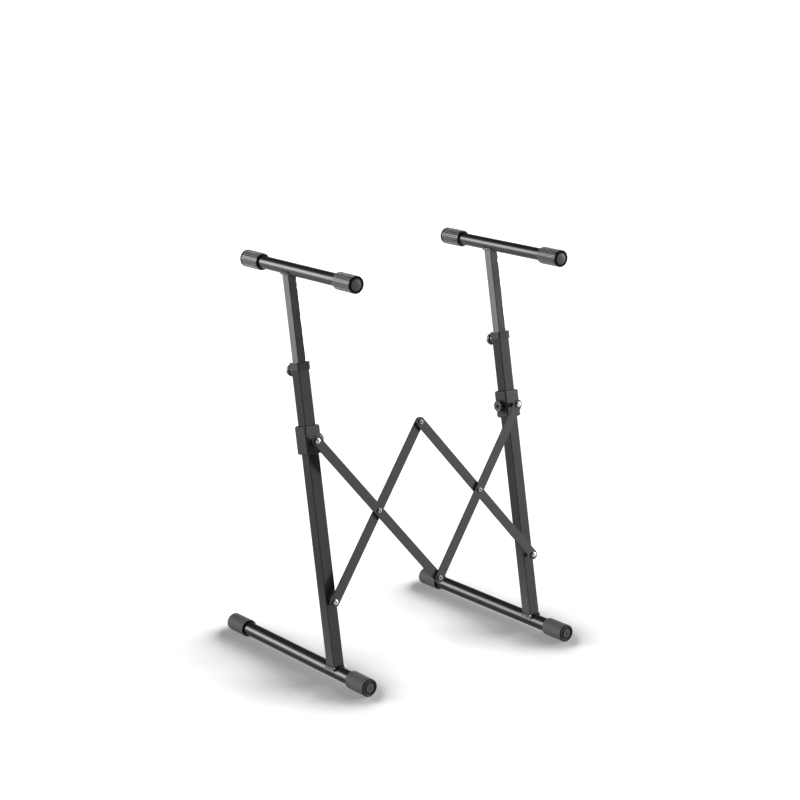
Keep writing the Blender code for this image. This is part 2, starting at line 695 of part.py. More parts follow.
add_bar("bar_a", LEFT, UPPER_PIVOT, MIDDLE_LAYER, -FOLD, bar_a)
add_bar("bar_b", LEFT, LOWER_PIVOT, BACK_LAYER, FOLD, bar_b)
add_bar("bar_c", 0, UPPER_PIVOT, MIDDLE_LAYER, -FOLD, bar_c)
add_bar("bar_d", 0, LOWER_PIVOT, FRONT_LAYER, FOLD, bar_d)

add_bar_pivot("left_crossing", LEFT / 2, CROSSING, BACK_LAYER, bar_b)
add_bar_pivot("right_crossing", RIGHT / 2, CROSSING, MIDDLE_LAYER, bar_c)
add_bar_pivot("top_middle", 0, UPPER_PIVOT, BACK_LAYER, bar_b)
add_bar_pivot("bottom_middle", 0, LOWER_PIVOT, MIDDLE_LAYER, bar_a)
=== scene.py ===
"""Looks of a folding keyboard stand: fine pieces, finishes, camera and a pale studio.

Metres, +Z up. The stand's uprights lean back towards +Y; places in their leaning plane are
given as x, a distance forward of it and a distance up along it.
"""

from math import acos, cos, hypot, pi, radians, sin, sqrt

import bmesh
import bpy
from mathutils import Matrix, Vector


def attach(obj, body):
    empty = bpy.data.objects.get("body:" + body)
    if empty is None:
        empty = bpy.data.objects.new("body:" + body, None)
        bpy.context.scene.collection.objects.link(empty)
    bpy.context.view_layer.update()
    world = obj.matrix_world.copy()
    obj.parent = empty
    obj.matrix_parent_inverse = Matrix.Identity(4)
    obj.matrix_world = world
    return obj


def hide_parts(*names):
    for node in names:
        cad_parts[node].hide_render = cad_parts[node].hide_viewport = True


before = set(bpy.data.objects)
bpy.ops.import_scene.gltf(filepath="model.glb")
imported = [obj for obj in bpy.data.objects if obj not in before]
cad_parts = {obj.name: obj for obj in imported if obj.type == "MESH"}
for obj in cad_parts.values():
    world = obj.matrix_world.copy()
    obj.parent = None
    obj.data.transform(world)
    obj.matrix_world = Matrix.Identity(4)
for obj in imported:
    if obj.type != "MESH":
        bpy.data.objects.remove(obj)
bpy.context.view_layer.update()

# Sizes of the stand
CLEARANCE = 0.0003
FRAME_SPACING = 0.5193
LEAN = radians(11.56)
BASE_FRONT = 0.1122
BASE_REAR = 0.3673
ARM_FRONT = 0.2245
ARM_REAR = 0.1458
ARM_RISE = 0.1895
RISER_INSIDE = 0.288
BASE_TUBE_RADIUS = 0.014
BASE_TUBE_WALL = 0.0015
ARM_TUBE_RADIUS = 0.0125
ARM_TUBE_WALL = 0.0012
UPRIGHT_SIZE = 0.0254
UPRIGHT_CORNER = 0.0014
TUBE_WALL = 0.0012
RISER_CORNER = 0.0014
GUIDE_WALL = 0.0009
GUIDE_DEPTH = 0.033
CAP_LENGTH = 0.0575
CAP_END = 0.004
MOUTH_LIP = 0.0011
MOUTH_DEPTH = 0.0075
BASE_CAP_RADIUS = 0.0183
BASE_CAP_SIDES = 24
BASE_CAP_DISC = 0.0092
BASE_CAP_RING = 0.0144
ARM_CAP_RADIUS = 0.0165
ARM_CAP_RIBS = 30
RIB_HEIGHT = 0.00078
ARM_CAP_BEAD = 0.0034
ARM_CAP_DISC = 0.0126
SKIRT_WALL = 0.002
SKIRT_DEPTH = 0.012
SKIRT_CORNER = 0.0026
LIP = 0.0037
FRONT_GAP = 0.0042
GAP_FROM = 0.455  # in widths of the tube, as is its fade
GAP_FADE = 0.03
HEIGHT_SCREW_DROP = 0.012
BOSS_RADIUS = 0.0105
BOSS_LENGTH = 0.0092
KNOB_RADIUS = 0.0124
KNOB_THICKNESS = 0.008
KNOB_NECK_RADIUS = 0.0055
KNOB_NECK_LENGTH = 0.0022
KNOB_EYE = 0.0034
KNOB_FLUTES = 10
KNOB_FLUTE_DEPTH = 0.0008
BAR_PIVOTS = 0.4142
BAR_WIDTH = 0.0207
BAR_THICKNESS = 0.003
WASHER_THICKNESS = 0.0004
WASHER_RADIUS = 0.008
LOWER_PIVOT = 0.14225
UPRIGHT_HEADROOM = 0.06155
BAR_OFF_COLLAR = 0.005
COLLAR_WALL = 0.0053
COLLAR_HEIGHT = 0.057
COLLAR_BELOW_PIVOT = 0.026
COLLAR_CORNER = 0.003
COLLAR_CHAMFER = 0.0026
BOLT_RADIUS = 0.003
BOLT_TAIL = 0.0015
END_HEAD_RADIUS = 0.0059
END_HEAD_HEIGHT = 0.0028
MID_HEAD_RADIUS = 0.0048
MID_HEAD_HEIGHT = 0.0022
NUT_RADIUS = 0.0058
NUT_THICKNESS = 0.004
THIN_NUT_THICKNESS = 0.003
SPACER_RADIUS = 0.0045
WELD_BEAD = 0.0043
WELD_SPACING = 0.0052
WELD_RISE = 0.0028
SEAM_POINTS = 12
SHARPEST_CORNER = 0.00005

# Painted shade on parts of a piece: 0 is its plain finish, 1 the darkest
CAP_DISC_SHADE = 0.33
CAP_RING_SHADE = 0.36
CAP_RIM_SHADE = 0.62
GRIP_BEAD_SHADE = 1
GRIP_DISC_SHADE = 0.25
CLAMP_TOP_SHADE = 0.9
COLLAR_TOP_SHADE = 0.85
KNOB_SHADE = 0.95
MID_BOLT_SHADE = 0.36

# Sizes that follow; the smooth base cap is as wide as the flats of the solid one
BASE_AXIS = BASE_CAP_RADIUS * cos(pi / BASE_CAP_SIDES)
FOOT_Y = (BASE_FRONT - BASE_REAR) / 2
UPRIGHT_TOP = LOWER_PIVOT + BAR_PIVOTS + UPRIGHT_HEADROOM
HEIGHT_SCREW = UPRIGHT_TOP - HEIGHT_SCREW_DROP
RISER_FOOT = UPRIGHT_TOP - RISER_INSIDE
ARM_UP = UPRIGHT_TOP + ARM_RISE
FOLD = acos(FRAME_SPACING / 2 / BAR_PIVOTS)
UPPER_PIVOT = LOWER_PIVOT + BAR_PIVOTS * sin(FOLD)
CROSSING = (LOWER_PIVOT + UPPER_PIVOT) / 2
UPRIGHT_BORE = UPRIGHT_SIZE - 2 * TUBE_WALL
RISER_SIZE = UPRIGHT_BORE - 2 * (GUIDE_WALL + 2 * CLEARANCE)
SLIDING_SIZE = UPRIGHT_SIZE + 2 * CLEARANCE
SKIRT_SIZE = SLIDING_SIZE + 2 * SKIRT_WALL
COLLAR_SIZE = SLIDING_SIZE + 2 * COLLAR_WALL
LAYER = BAR_THICKNESS + WASHER_THICKNESS + 2 * CLEARANCE
BACK_LAYER = COLLAR_SIZE / 2 + BAR_OFF_COLLAR
MIDDLE_LAYER = BACK_LAYER + LAYER
FRONT_LAYER = MIDDLE_LAYER + LAYER
LEFT = -FRAME_SPACING / 2
RIGHT = FRAME_SPACING / 2

ROUND_SIDES = 96
BOLT_SIDES = 48

# Wear starts where a surface bends by so many radians a metre, and is full that much further
WEAR_FROM = 120
WEAR_RANGE = 380
NARROWEST_FACE = 0.0002
SHARP_ANGLE = radians(38)

FORWARD = Matrix.Rotation(radians(90), 4, "X")
REARWARD = Matrix.Rotation(radians(-90), 4, "X")
LEANING = Matrix.Translation((0, FOOT_Y, BASE_AXIS)) @ Matrix.Rotation(-LEAN, 4, "X")


def leaning(x, forward, up):
    """The frame at a spot of the leaning plane; its Z axis runs up along the uprights."""
    return LEANING @ Matrix.Translation((x, -forward, up))


def sideways(direction):
    """The rotation that turns a shape's Z axis to +X, or to -X where direction is -1."""
    return Matrix.Rotation(radians(90 * direction), 4, "Y")


# Node trees, written as expressions


class Signal:
    """An output socket. Arithmetic on signals and numbers adds Math nodes."""

    def __init__(self, net, node, output=0):
        self.net = net
        self.of = node
        self.socket = node.outputs[output]

    def __getitem__(self, output):
        return Signal(self.net, self.of, output)

    def arithmetic(self, operation, *terms):
        return self.net.node("ShaderNodeMath", {"operation": operation}, dict(enumerate(terms)))

    def plain(operation):
        return lambda self, other: self.arithmetic(operation, self, other)

    def reflected(operation):
        return lambda self, other: self.arithmetic(operation, other, self)

    __add__, __radd__ = plain("ADD"), reflected("ADD")
    __sub__, __rsub__ = plain("SUBTRACT"), reflected("SUBTRACT")
    __mul__, __rmul__ = plain("MULTIPLY"), reflected("MULTIPLY")
    __truediv__, __rtruediv__ = plain("DIVIDE"), reflected("DIVIDE")

    def clipped(self, low=0.0, high=1.0):
        return self.arithmetic("MINIMUM", self.arithmetic("MAXIMUM", self, low), high)

    def rising(self, start, run):
        """0 as far as start, 1 from start + run on."""
        return ((self - start) / run).clipped()


class Net:
    """A node tree that grows by one node at a time."""

    def __init__(self, tree):
        self.tree = tree

    def node(self, kind, settings=None, sockets=None, output=0):
        """Add a node, set it up, feed its sockets and return one of its outputs."""
        made = self.tree.nodes.new(kind)
        for name, value in (settings or {}).items():
            setattr(made, name, value)
        for name, value in (sockets or {}).items():
            self.feed(made.inputs[name], value)
        return Signal(self, made, output) if made.outputs else made

    def feed(self, socket, value):
        if isinstance(value, Signal):
            self.tree.links.new(value.socket, socket)
        else:
            socket.default_value = value


# Finishes

# Painted floor light: faces towards -X are painted lighter low down, and how high that reaches
PAINTED_FLOOR_LIGHT = (0.13, 0.133, 0.131, 1)
PAINTED_FLOOR_LIGHT_SHARE = 0.9
PAINTED_FLOOR_LIGHT_HEIGHT = 0.2
# Lighter edges: rubbed wear on both finishes, and on the powder coat also a painted highlight
RUBBED_AND_HIGHLIT_COAT = ((0.05, 0.05, 0.05), (0.085, 0.085, 0.085))
RUBBED_STEEL = (0.34, 0.34, 0.33, 1)
EDGE_WEAR_AND_HIGHLIGHT_SHARE = 0.3
# Colours that painted shade darkens shaded parts and hollows towards
PAINTED_SHADE_RUBBER = (0.008, 0.008, 0.008, 1)
PAINTED_SHADE_NYLON = (0.006, 0.006, 0.006, 1)
PAINTED_SHADE_ZINC = (0.03, 0.03, 0.03, 1)


class Finish(Net):
    """A material whose colour, roughness and relief come from patterns in its nodes."""

    def __init__(self, name, roughness, metallic=0.0, level=0.5):
        self.material = bpy.data.materials.new(name)
        self.material.use_nodes = True
        super().__init__(self.material.node_tree)
        self.shader = self.tree.nodes["Principled BSDF"]
        self.give("Roughness", roughness)
        self.give("Metallic", metallic)
        self.give("Specular IOR Level", level)
        self.place = self.node("ShaderNodeTexCoord", output="Object")
        self.edge = self.stored("edge")
        self.hollow = self.stored("hollow")
        self.shaded = self.stored("shaded")

    def give(self, socket, value):
        self.feed(self.shader.inputs[socket], value)

    def stored(self, name):
        """What mark_edges or shaded has stored at each point of the mesh."""
        return self.node("ShaderNodeAttribute", {"attribute_name": name}, output="Fac")

    def stretched(self, *scale):
        """Object coordinates, stretched along the three axes."""
        return self.node("ShaderNodeMapping", {}, {"Vector": self.place, "Scale": scale})

    def noise(self, scale, detail=3.0, roughness=0.5, place=None):
        values = {"Scale": scale, "Detail": detail, "Roughness": roughness}
        return self.node("ShaderNodeTexNoise", {}, {"Vector": place or self.place, **values})

    def cells(self, scale):
        """Distance to the nearest of scattered points."""
        return self.node("ShaderNodeTexVoronoi", {}, {"Vector": self.place, "Scale": scale})

    def between(self, share, low, high):
        """A number that runs from low to high as share does from 0 to 1."""
        return share.clipped() * (high - low) + low

    def mixed(self, share, low, high):
        """A colour that runs from low to high with share; each may be a signal."""
        sockets = {"Factor": share, "A": low, "B": high}
        return self.node("ShaderNodeMix", {"data_type": "RGBA"}, sockets, "Result")

    def tint(self, share, low, high):
        """The same between two plain colours."""
        return self.mixed(share, (*low, 1), (*high, 1))

    def relief(self, height, depth, strength):
        """Raise the surface by height times depth metres."""
        sockets = {"Height": height, "Distance": depth, "Strength": strength}
        self.give("Normal", self.node("ShaderNodeBump", {}, sockets))

    def wear(self, colour, roughness=None, metallic=None):
        """Let the colour, and the roughness and metal where given, follow their patterns."""
        patterns = {"Base Color": colour, "Roughness": roughness, "Metallic": metallic}
        for socket, value in patterns.items():
            if value is not None:
                self.give(socket, value)
        return self.material


def gloss_enamel():
    """Stoved gloss black on the round tubes: faint orange peel and drawing lines."""
    paint = Finish("gloss_black_enamel", 0.24)
    peel = paint.noise(240.0, 2.0)
    drawn = paint.noise(1.0, 4.0, 0.6, paint.stretched(900, 12, 900))
    cloud = paint.noise(14.0)
    paint.relief(peel + drawn * 0.35, depth=0.00003, strength=0.6)
    return paint.wear(
        paint.tint(cloud * 0.6 + paint.edge * 0.4, (0.011, 0.0115, 0.012), (0.02, 0.021, 0.022)),
        paint.between(peel * 0.5 + cloud * 0.5, 0.29, 0.41),
    )


def powder_coat(name, dark, light, rough, level):
    """Satin powder coat: pebbled grain, worn edges with a painted highlight, and painted floor
    light low on faces towards -X.
    """
    coat = Finish(name, rough, level=level)
    pebble = coat.cells(1500.0)
    grain = coat.noise(700.0, 3.0, 0.6)
    cloud = coat.noise(9.0, 4.0, 0.55)
    coat.relief(pebble * 0.6 + grain, depth=0.00005, strength=0.35)
    height = coat.node("ShaderNodeSeparateXYZ", {}, {"Vector": coat.place}, "Z")
    normal = coat.node("ShaderNodeNewGeometry", output="Normal")
    facing = coat.node("ShaderNodeSeparateXYZ", {}, {"Vector": normal}, "X")
    # painted floor light: faces towards -X are painted lighter near the floor, standing in for
    # light thrown up from it
    painted_floor_light = (1 - height / PAINTED_FLOOR_LIGHT_HEIGHT).clipped() * (0 - facing).clipped() * PAINTED_FLOOR_LIGHT_SHARE
    body = coat.mixed(painted_floor_light, coat.tint(cloud * 0.7 + grain * 0.3, dark, light), PAINTED_FLOOR_LIGHT)
    return coat.wear(
        # edges lighter: partly rubbed wear, partly a painted highlight
        coat.mixed(coat.edge * EDGE_WEAR_AND_HIGHLIGHT_SHARE, body, coat.tint(grain, *RUBBED_AND_HIGHLIT_COAT)),
        coat.between(grain * 0.6 + cloud * 0.4, rough - 0.06, rough + 0.08) - coat.edge * 0.08,
    )


def burnished_black():
    """Chemically blackened, burnished steel of the risers: long draw marks and faint clouds."""
    steel = Finish("burnished_black_steel", 0.3, metallic=1.0)
    drawn = steel.noise(1.0, 4.0, 0.6, steel.stretched(1400, 1400, 30))
    cloud = steel.noise(22.0, 4.0, 0.6)
    steel.relief(drawn, depth=0.00002, strength=0.4)
    bare = steel.tint(cloud * 0.6 + drawn * 0.4, (0.125, 0.127, 0.127), (0.2, 0.203, 0.202))
    return steel.wear(
        steel.mixed(steel.edge * EDGE_WEAR_AND_HIGHLIGHT_SHARE, bare, RUBBED_STEEL),
        steel.between(drawn * 0.5 + cloud * 0.5, 0.16, 0.26),
    )


def cap_rubber(name, dark, light, rough, level):
    """Moulded rubber with a dull skin, pale flow marks, and painted shade on its ends and in its
    hollows.
    """
    rubber = Finish(name, rough, level=level)
    skin = rubber.noise(520.0, 4.0, 0.6)
    flow = rubber.noise(1.0, 3.0, 0.5, rubber.stretched(160, 24, 160))
    rubber.relief(skin * (1 - rubber.shaded), depth=0.00005, strength=0.3)
    body = rubber.tint(flow * 0.6 + skin * 0.4 + rubber.edge * 0.25, dark, light)
    return rubber.wear(
        # painted shade: shaded parts and hollows darken towards black, and shaded parts turn
        # metallic so that they lose their reflections
        rubber.mixed((rubber.shaded + rubber.hollow * 0.4).clipped(), body, PAINTED_SHADE_RUBBER),
        rubber.between(skin, rough - 0.07, rough + 0.1) + rubber.shaded * 0.5,
        rubber.shaded,
    )


def moulded_nylon(name, dark, light, rough, level=0.5):
    """Moulded nylon with a spark-eroded grain, rubbed edges, and painted shade in hollows and on
    shaded parts.
    """
    nylon = Finish(name, rough, level=level)
    grain = nylon.noise(1100.0, 2.0, 0.7)
    pits = nylon.cells(900.0)
    cloud = nylon.noise(30.0)
    nylon.relief(grain + pits * 0.5, depth=0.00006, strength=0.6)
    body = nylon.tint(cloud * 0.5 + grain * 0.3 + nylon.edge * 0.35, dark, light)
    return nylon.wear(
        # painted shade: shaded parts and hollows darken towards black, and shaded parts turn
        # metallic so that they lose their reflections
        nylon.mixed((nylon.shaded + nylon.hollow * 0.6).clipped(), body, PAINTED_SHADE_NYLON),
        nylon.between(grain * 0.5 + cloud * 0.5, rough - 0.08, rough + 0.08),
        nylon.shaded,
    )


def zinc_plate():
    """Bright zinc over turned steel: fine scratches, a little clouding, rougher hollows, and
    painted shade in hollows and on shaded parts.
    """
    zinc = Finish("bright_zinc_plate", 0.3, metallic=1.0)
    scratches = zinc.noise(1.0, 3.0, 0.6, zinc.stretched(2600, 300, 2600))
    cloud = zinc.noise(180.0, 4.0, 0.6)
    zinc.relief(scratches, depth=0.00002, strength=0.5)
    bright = zinc.tint(cloud * 0.7 + scratches * 0.3, (0.4, 0.4, 0.39), (0.66, 0.66, 0.64))
    return zinc.wear(
        # painted shade: hollows and shaded parts darken towards near black
        zinc.mixed((zinc.hollow * 0.94 + zinc.shaded).clipped(), bright, PAINTED_SHADE_ZINC),
        zinc.between(scratches * 0.5 + cloud * 0.5, 0.22, 0.38) + zinc.hollow * 0.3 + zinc.shaded,
    )


def weld_coat():
    """Coat over the ripples of a weld, in dark patches and light ones that are painted highlights.
    """
    weld = Finish("coated_weld", 0.3, metallic=0.15)
    grain = weld.noise(300.0, 4.0, 0.6)
    spatter = weld.cells(420.0)
    weld.relief(grain + spatter, depth=0.0001, strength=0.7)
    return weld.wear(
        # painted highlights: the grain lifts the coat from dark to near white in patches
        weld.tint(grain.rising(0.375, 0.3125), (0.14, 0.141, 0.142), (0.75, 0.752, 0.753)),
        weld.between(spatter, 0.16, 0.4),
    )


GLOSS_BLACK = gloss_enamel()
SATIN_BLACK = powder_coat(
    "satin_black_powder_coat", (0.0236, 0.0247, 0.0251), (0.0342, 0.0357, 0.0361), 0.46, 0.15
)
RISER_BLACK = burnished_black()
BAR_BLACK = powder_coat(
    "black_coated_bar", (0.0396, 0.0406, 0.0415), (0.0522, 0.0532, 0.0541), 0.5, 0.15
)
BASE_RUBBER = cap_rubber(
    "grey_base_cap_rubber", (0.108, 0.114, 0.115), (0.142, 0.149, 0.15), 0.6, 0.12
)
GRIP_RUBBER = cap_rubber(
    "ribbed_arm_cap_rubber", (0.016, 0.018, 0.019), (0.03, 0.0334, 0.0348), 0.3, 0.49
)
COLLAR_NYLON = moulded_nylon(
    "black_collar_nylon", (0.045, 0.047, 0.0475), (0.065, 0.068, 0.0685), 0.5, 0.15
)
CLAMP_NYLON = moulded_nylon(
    "black_clamp_nylon", (0.021, 0.0222, 0.0226), (0.031, 0.0326, 0.033), 0.25, 0.48
)
KNOB_PLASTIC = moulded_nylon("black_knob_plastic", (0.03, 0.03, 0.031), (0.06, 0.06, 0.062), 0.36)
PLAIN_NYLON = moulded_nylon("black_nylon", (0.03, 0.03, 0.03), (0.055, 0.055, 0.055), 0.4)
ZINC = zinc_plate()
WELD = weld_coat()

# Finish and slot of the fasteners
PLATED = (ZINC, "zinc_plate")
PLASTIC = (PLAIN_NYLON, "black_nylon")


# Plain outlines, and outlines by an inset, so that a stack of them can round its edges


def arc(start, end, steps):
    """Angles from start to end, which are in degrees."""
    return [radians(start + (end - start) * i / steps) for i in range(steps + 1)]


def circle(sides):
    """Points of a circle of radius 1."""
    steps = [2 * pi * (i + 0.5) / sides for i in range(sides)]
    return [(cos(a), sin(a)) for a in steps]


def hexagon(radius):
    """Points of a hexagon, as many as a bolt's circles have."""
    side = BOLT_SIDES // 6
    turns = [pi / 3 * i for i in range(7)]
    corners = [Vector((cos(a), sin(a))) * radius for a in turns]
    edges = zip(corners, corners[1:])
    return [tuple(one.lerp(other, j / side)) for one, other in edges for j in range(side)]


def square_outline(size, corner, steps=8, along=1):
    """Square with round corners, each side cut in so many lengths."""

    def outline(inset):
        radius = max(corner - inset, SHARPEST_CORNER)
        reach = size / 2 - inset - radius
        points = []
        for quarter, (x, y) in enumerate(((1, 1), (-1, 1), (-1, -1), (1, -1))):
            for a in arc(90 * quarter, 90 * quarter + 90, steps):
                points.append((x * reach + radius * cos(a), y * reach + radius * sin(a)))
            start = Vector(points[-1])
            end = start - Vector((x + y, y - x)) * reach
            points += [tuple(start.lerp(end, i / along)) for i in range(1, along)]
        return points

    return outline


def slot_outline(length, radius, steps=24):
    """Two half circles of that radius, length apart along X."""

    def outline(inset):
        points = []
        for x, start in ((0, 90), (length, -90)):
            for a in arc(start, start + 180, steps):
                points.append((x + (radius - inset) * cos(a), (radius - inset) * sin(a)))
        return points

    return outline


def fluted_outline(radius, depth, flutes, sides=120):
    def outline(inset):
        points = []
        for i in range(sides):
            a = 2 * pi * i / sides
            reach = radius - inset - depth * (1 - cos(flutes * a)) / 2
            points.append((reach * cos(a), reach * sin(a)))
        return points

    return outline


# Meshes


def stack(outline, levels):
    """Rings of an outline at (inset, height) levels."""
    return [[(x, y, height) for x, y in outline(inset)] for inset, height in levels]


def scaled(points, levels):
    """Rings of the same points at (scale, height) levels."""
    return [[(x * reach, y * reach, height) for x, y in points] for reach, height in levels]


def eased(low, high, radius, steps=4, top=True, bottom=True):
    """Levels from low to high, with both edges or one of them rounded."""
    rise = arc(0, 90, steps)
    under = [(radius * (1 - sin(a)), low + radius * (1 - cos(a))) for a in rise]
    over = [(radius * (1 - cos(a)), high - radius * (1 - sin(a))) for a in rise]
    return (under if bottom else [(0, low)]) + (over if top else [(0, high)])


def skin(rings, ends=True, looped=False):
    """A closed mesh over rings of equally many points; the ends are filled or joined."""
    shape = bmesh.new()
    loops = [[shape.verts.new(point) for point in ring] for ring in rings]
    count = len(loops[0])
    pairs = list(zip(loops, loops[1:])) + ([(loops[-1], loops[0])] if looped else [])
    for low, high in pairs:
        for i in range(count):
            j = (i + 1) % count
            shape.faces.new((low[i], low[j], high[j], high[i]))
    if ends and not looped:
        shape.faces.new(loops[0][::-1])
        shape.faces.new(loops[-1])
    bmesh.ops.remove_doubles(shape, verts=shape.verts, dist=1e-7)
    bmesh.ops.recalc_face_normals(shape, faces=shape.faces)
    mesh = bpy.data.meshes.new("shape")
    shape.to_mesh(mesh)
    shape.free()
    return mesh


def lathe(profile, sides=ROUND_SIDES):
    """A (radius, height) profile spun about Z; it may start and end on the axis."""
    on_axis = profile[0][0] == 0 and profile[-1][0] == 0
    return skin(scaled(circle(sides), profile), ends=False, looped=not on_axis)


def bend(centre, radius, start, end, steps=6):
    """Profile points on an arc, from start to end in degrees."""
    x, y = centre
    return [(x + radius * cos(a), y + radius * sin(a)) for a in arc(start, end, steps)]


def kept_within(value):
    """A number, kept between 0 and 1."""
    return min(max(value, 0), 1)


def meeting(radius, way, x, y):
    """How far along the lean from a level round tube's axis a line at x, y meets the tube."""
    return (way * sqrt(radius**2 - x**2) + y * sin(LEAN)) / cos(LEAN)


def saddled(size, corner, low, high, low_round=None, high_round=None):
    """Square tube along Z whose ends may be saddle-cut to fit a level round tube.

    low_round and high_round are that tube's radius, with its axis at low or high. The
    section's own Y runs with the lean, so each end is cut as the leaning tube meets it, and
    stands a little off it in front, where it isn't welded.
    """
    rings = []
    bore_corner = max(corner - TUBE_WALL, 2 * CLEARANCE)
    for wide, bent in ((size, corner), (size - 2 * TUBE_WALL, bore_corner)):
        outline = square_outline(wide, bent, along=12)(0)
        ends = []
        for level, radius, way in ((low, low_round, 1), (high, high_round, -1)):
            ring = []
            for x, y in outline:
                reach = 0
                if radius:
                    gap = FRONT_GAP * kept_within((-y / size - GAP_FROM) / GAP_FADE)
                    reach = meeting(radius, way, x, y) + way * gap
                ring.append((x, y, level + reach))
            ends.append(ring)
        rings += ends if wide == size else ends[::-1]
    return skin(rings, looped=True)


def melded(*parts):
    """One mesh of several (mesh, matrix) parts."""
    whole = bmesh.new()
    for mesh, matrix in parts:
        copy = mesh.copy()
        copy.transform(matrix)
        whole.from_mesh(copy)
        bpy.data.meshes.remove(copy)
    mesh = bpy.data.meshes.new("melded")
    whole.to_mesh(mesh)
    whole.free()
    return mesh


def mark_edges(mesh):
    """Store how sharply the surface bends at each point, outwards as edge and inwards as hollow."""
    shape = bmesh.new()
    shape.from_mesh(mesh)
    out = shape.verts.layers.float.new("edge")
    inward = shape.verts.layers.float.new("hollow")
    for edge in shape.edges:
        if len(edge.link_faces) != 2:
            continue
        angle = edge.calc_face_angle_signed(0)
        one, other = edge.link_faces
        across = (one.calc_center_median() - other.calc_center_median()).length
        bending = abs(angle) / max(across, NARROWEST_FACE)
        sharp = kept_within((bending - WEAR_FROM) / WEAR_RANGE)
        layer = out if angle > 0 else inward
        for vertex in edge.verts:
            vertex[layer] = max(vertex[layer], sharp)
    shape.to_mesh(mesh)
    shape.free()


def shaded(mesh, share):
    """Store how much painted shade darkens the finish at each point, as share says from its place.
    """
    layer = mesh.attributes.new("shaded", "FLOAT", "POINT")
    for vertex, level in zip(mesh.vertices, layer.data):
        level.value = share(vertex.co)
    return mesh


def linked(name, data):
    """An object of the scene that holds this data."""
    made = bpy.data.objects.new(name, data)
    bpy.context.scene.collection.objects.link(made)
    return made


def evaluated(part):
    """The plain mesh that an object's modifiers make."""
    graph = bpy.context.evaluated_depsgraph_get()
    return bpy.data.meshes.new_from_object(part.evaluated_get(graph))


def piece(name, mesh, finish, body, slot, *nodes):
    """Finish a mesh that is in its place: shade it, hang it on its body, retire the CAD nodes."""
    mark_edges(mesh)
    mesh.name = name
    mesh.shade_smooth()
    mesh.set_sharp_from_angle(angle=SHARP_ANGLE)
    mesh.materials.clear()
    mesh.materials.append(finish)
    part = linked(name, mesh)
    weighted = part.modifiers.new("even_flats", "WEIGHTED_NORMAL")
    weighted.keep_sharp = True
    flat = evaluated(part)
    part.modifiers.clear()
    part.data = flat
    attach(part, body)
    if nodes:
        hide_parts(*nodes)


def placed(mesh, matrix):
    mesh.transform(matrix)
    return mesh


# Patterns made with Geometry Nodes


class Pattern(Net):
    """A tree with named inputs that copies one shape."""

    def __init__(self, name, **inputs):
        super().__init__(bpy.data.node_groups.new(name, "GeometryNodeTree"))
        for label, kind in {"Geometry": "Geometry", **inputs}.items():
            self.ask(label, kind, "INPUT")
        self.ask("Geometry", "Geometry", "OUTPUT")
        self.given = self.node("NodeGroupInput")

    def ask(self, label, kind, way):
        self.tree.interface.new_socket(label, in_out=way, socket_type="NodeSocket" + kind)

    def shape(self, label):
        """The geometry of the helper object given under that name."""
        return self.node("GeometryNodeObjectInfo", {}, {"Object": self.given[label]}, "Geometry")

    def along(self, vector, **settings):
        """The rotation that turns X to a vector."""
        return self.node("FunctionNodeAlignRotationToVector", settings, {"Vector": vector})

    def ended(self, points, shape, turn, scale=(1, 1, 1)):
        """Close the tree: real copies of the shape at the points, with their finish."""
        sockets = {"Points": points, "Instance": shape, "Rotation": turn, "Scale": scale}
        copies = self.node("GeometryNodeInstanceOnPoints", {}, sockets)
        real = self.node("GeometryNodeRealizeInstances", {}, {"Geometry": copies})
        sockets = {"Geometry": real, "Material": self.given["Finish"]}
        done = self.node("GeometryNodeSetMaterial", {}, sockets)
        self.node("NodeGroupOutput", {}, {"Geometry": done})
        return self.tree


def ring_tree():
    """Copies of a ridge round a circle, each turned to face outwards."""
    inputs = {"Ridge": "Object", "Count": "Int", "Radius": "Float"}
    net = Pattern("ridges_round_a_ring", **inputs, Finish="Material")
    sockets = {"Vertices": net.given["Count"], "Radius": net.given["Radius"]}
    points = net.node("GeometryNodeMeshCircle", {}, sockets)
    outward = net.along(net.node("GeometryNodeInputPosition"), axis="X", pivot_axis="Z")
    return net.ended(points, net.shape("Ridge"), outward)


def seam_tree():
    """Overlapping ripples of weld along a seam, each a little unlike the last."""
    inputs = {"Seam": "Object", "Spacing": "Float", "Ripple": "Float", "Seed": "Int"}
    net = Pattern("weld_ripples_along_a_seam", **inputs, Finish="Material")
    sockets = {"Curve": net.shape("Seam"), "Length": net.given["Spacing"]}
    steps = net.node("GeometryNodeResampleCurve", {"mode": "LENGTH"}, sockets)
    sockets = {"Segments": 14, "Rings": 8, "Radius": net.given["Ripple"]}
    ball = net.node("GeometryNodeMeshUVSphere", {}, sockets, "Mesh")
    flat = net.node("GeometryNodeTransform", {}, {"Geometry": ball, "Scale": (0.62, 1.0, 1.0)})
    along = net.along(net.node("GeometryNodeInputTangent"), axis="X")
    sockets = {"Seed": net.given["Seed"], "Min": 0.86, "Max": 1.12}
    unlike = net.node("FunctionNodeRandomValue", {"data_type": "FLOAT"}, sockets, "Value")
    return net.ended(steps, flat, along, unlike)


def pivot_tree():
    """A fastener at each of a mesh's points, all turned the same way."""
    net = Pattern("fasteners_at_pivots", Fastener="Object", Turn="Rotation", Finish="Material")
    return net.ended(net.given["Geometry"], net.shape("Fastener"), net.given["Turn"])


def patterned(tree, values, base=None):
    """The plain mesh that a tree makes with these values, and of a base where it needs one."""
    host = linked(tree.name, base or bpy.data.meshes.new(tree.name))
    pattern = host.modifiers.new("pattern", "NODES")
    pattern.node_group = tree
    for item in tree.interface.items_tree:
        if item.item_type == "SOCKET" and item.in_out == "INPUT" and item.name in values:
            pattern[item.identifier] = values[item.name]
    mesh = evaluated(host)
    bpy.data.objects.remove(host)
    return mesh


RING = ring_tree()
SEAM = seam_tree()
PIVOTS = pivot_tree()


# Round tubes and their caps


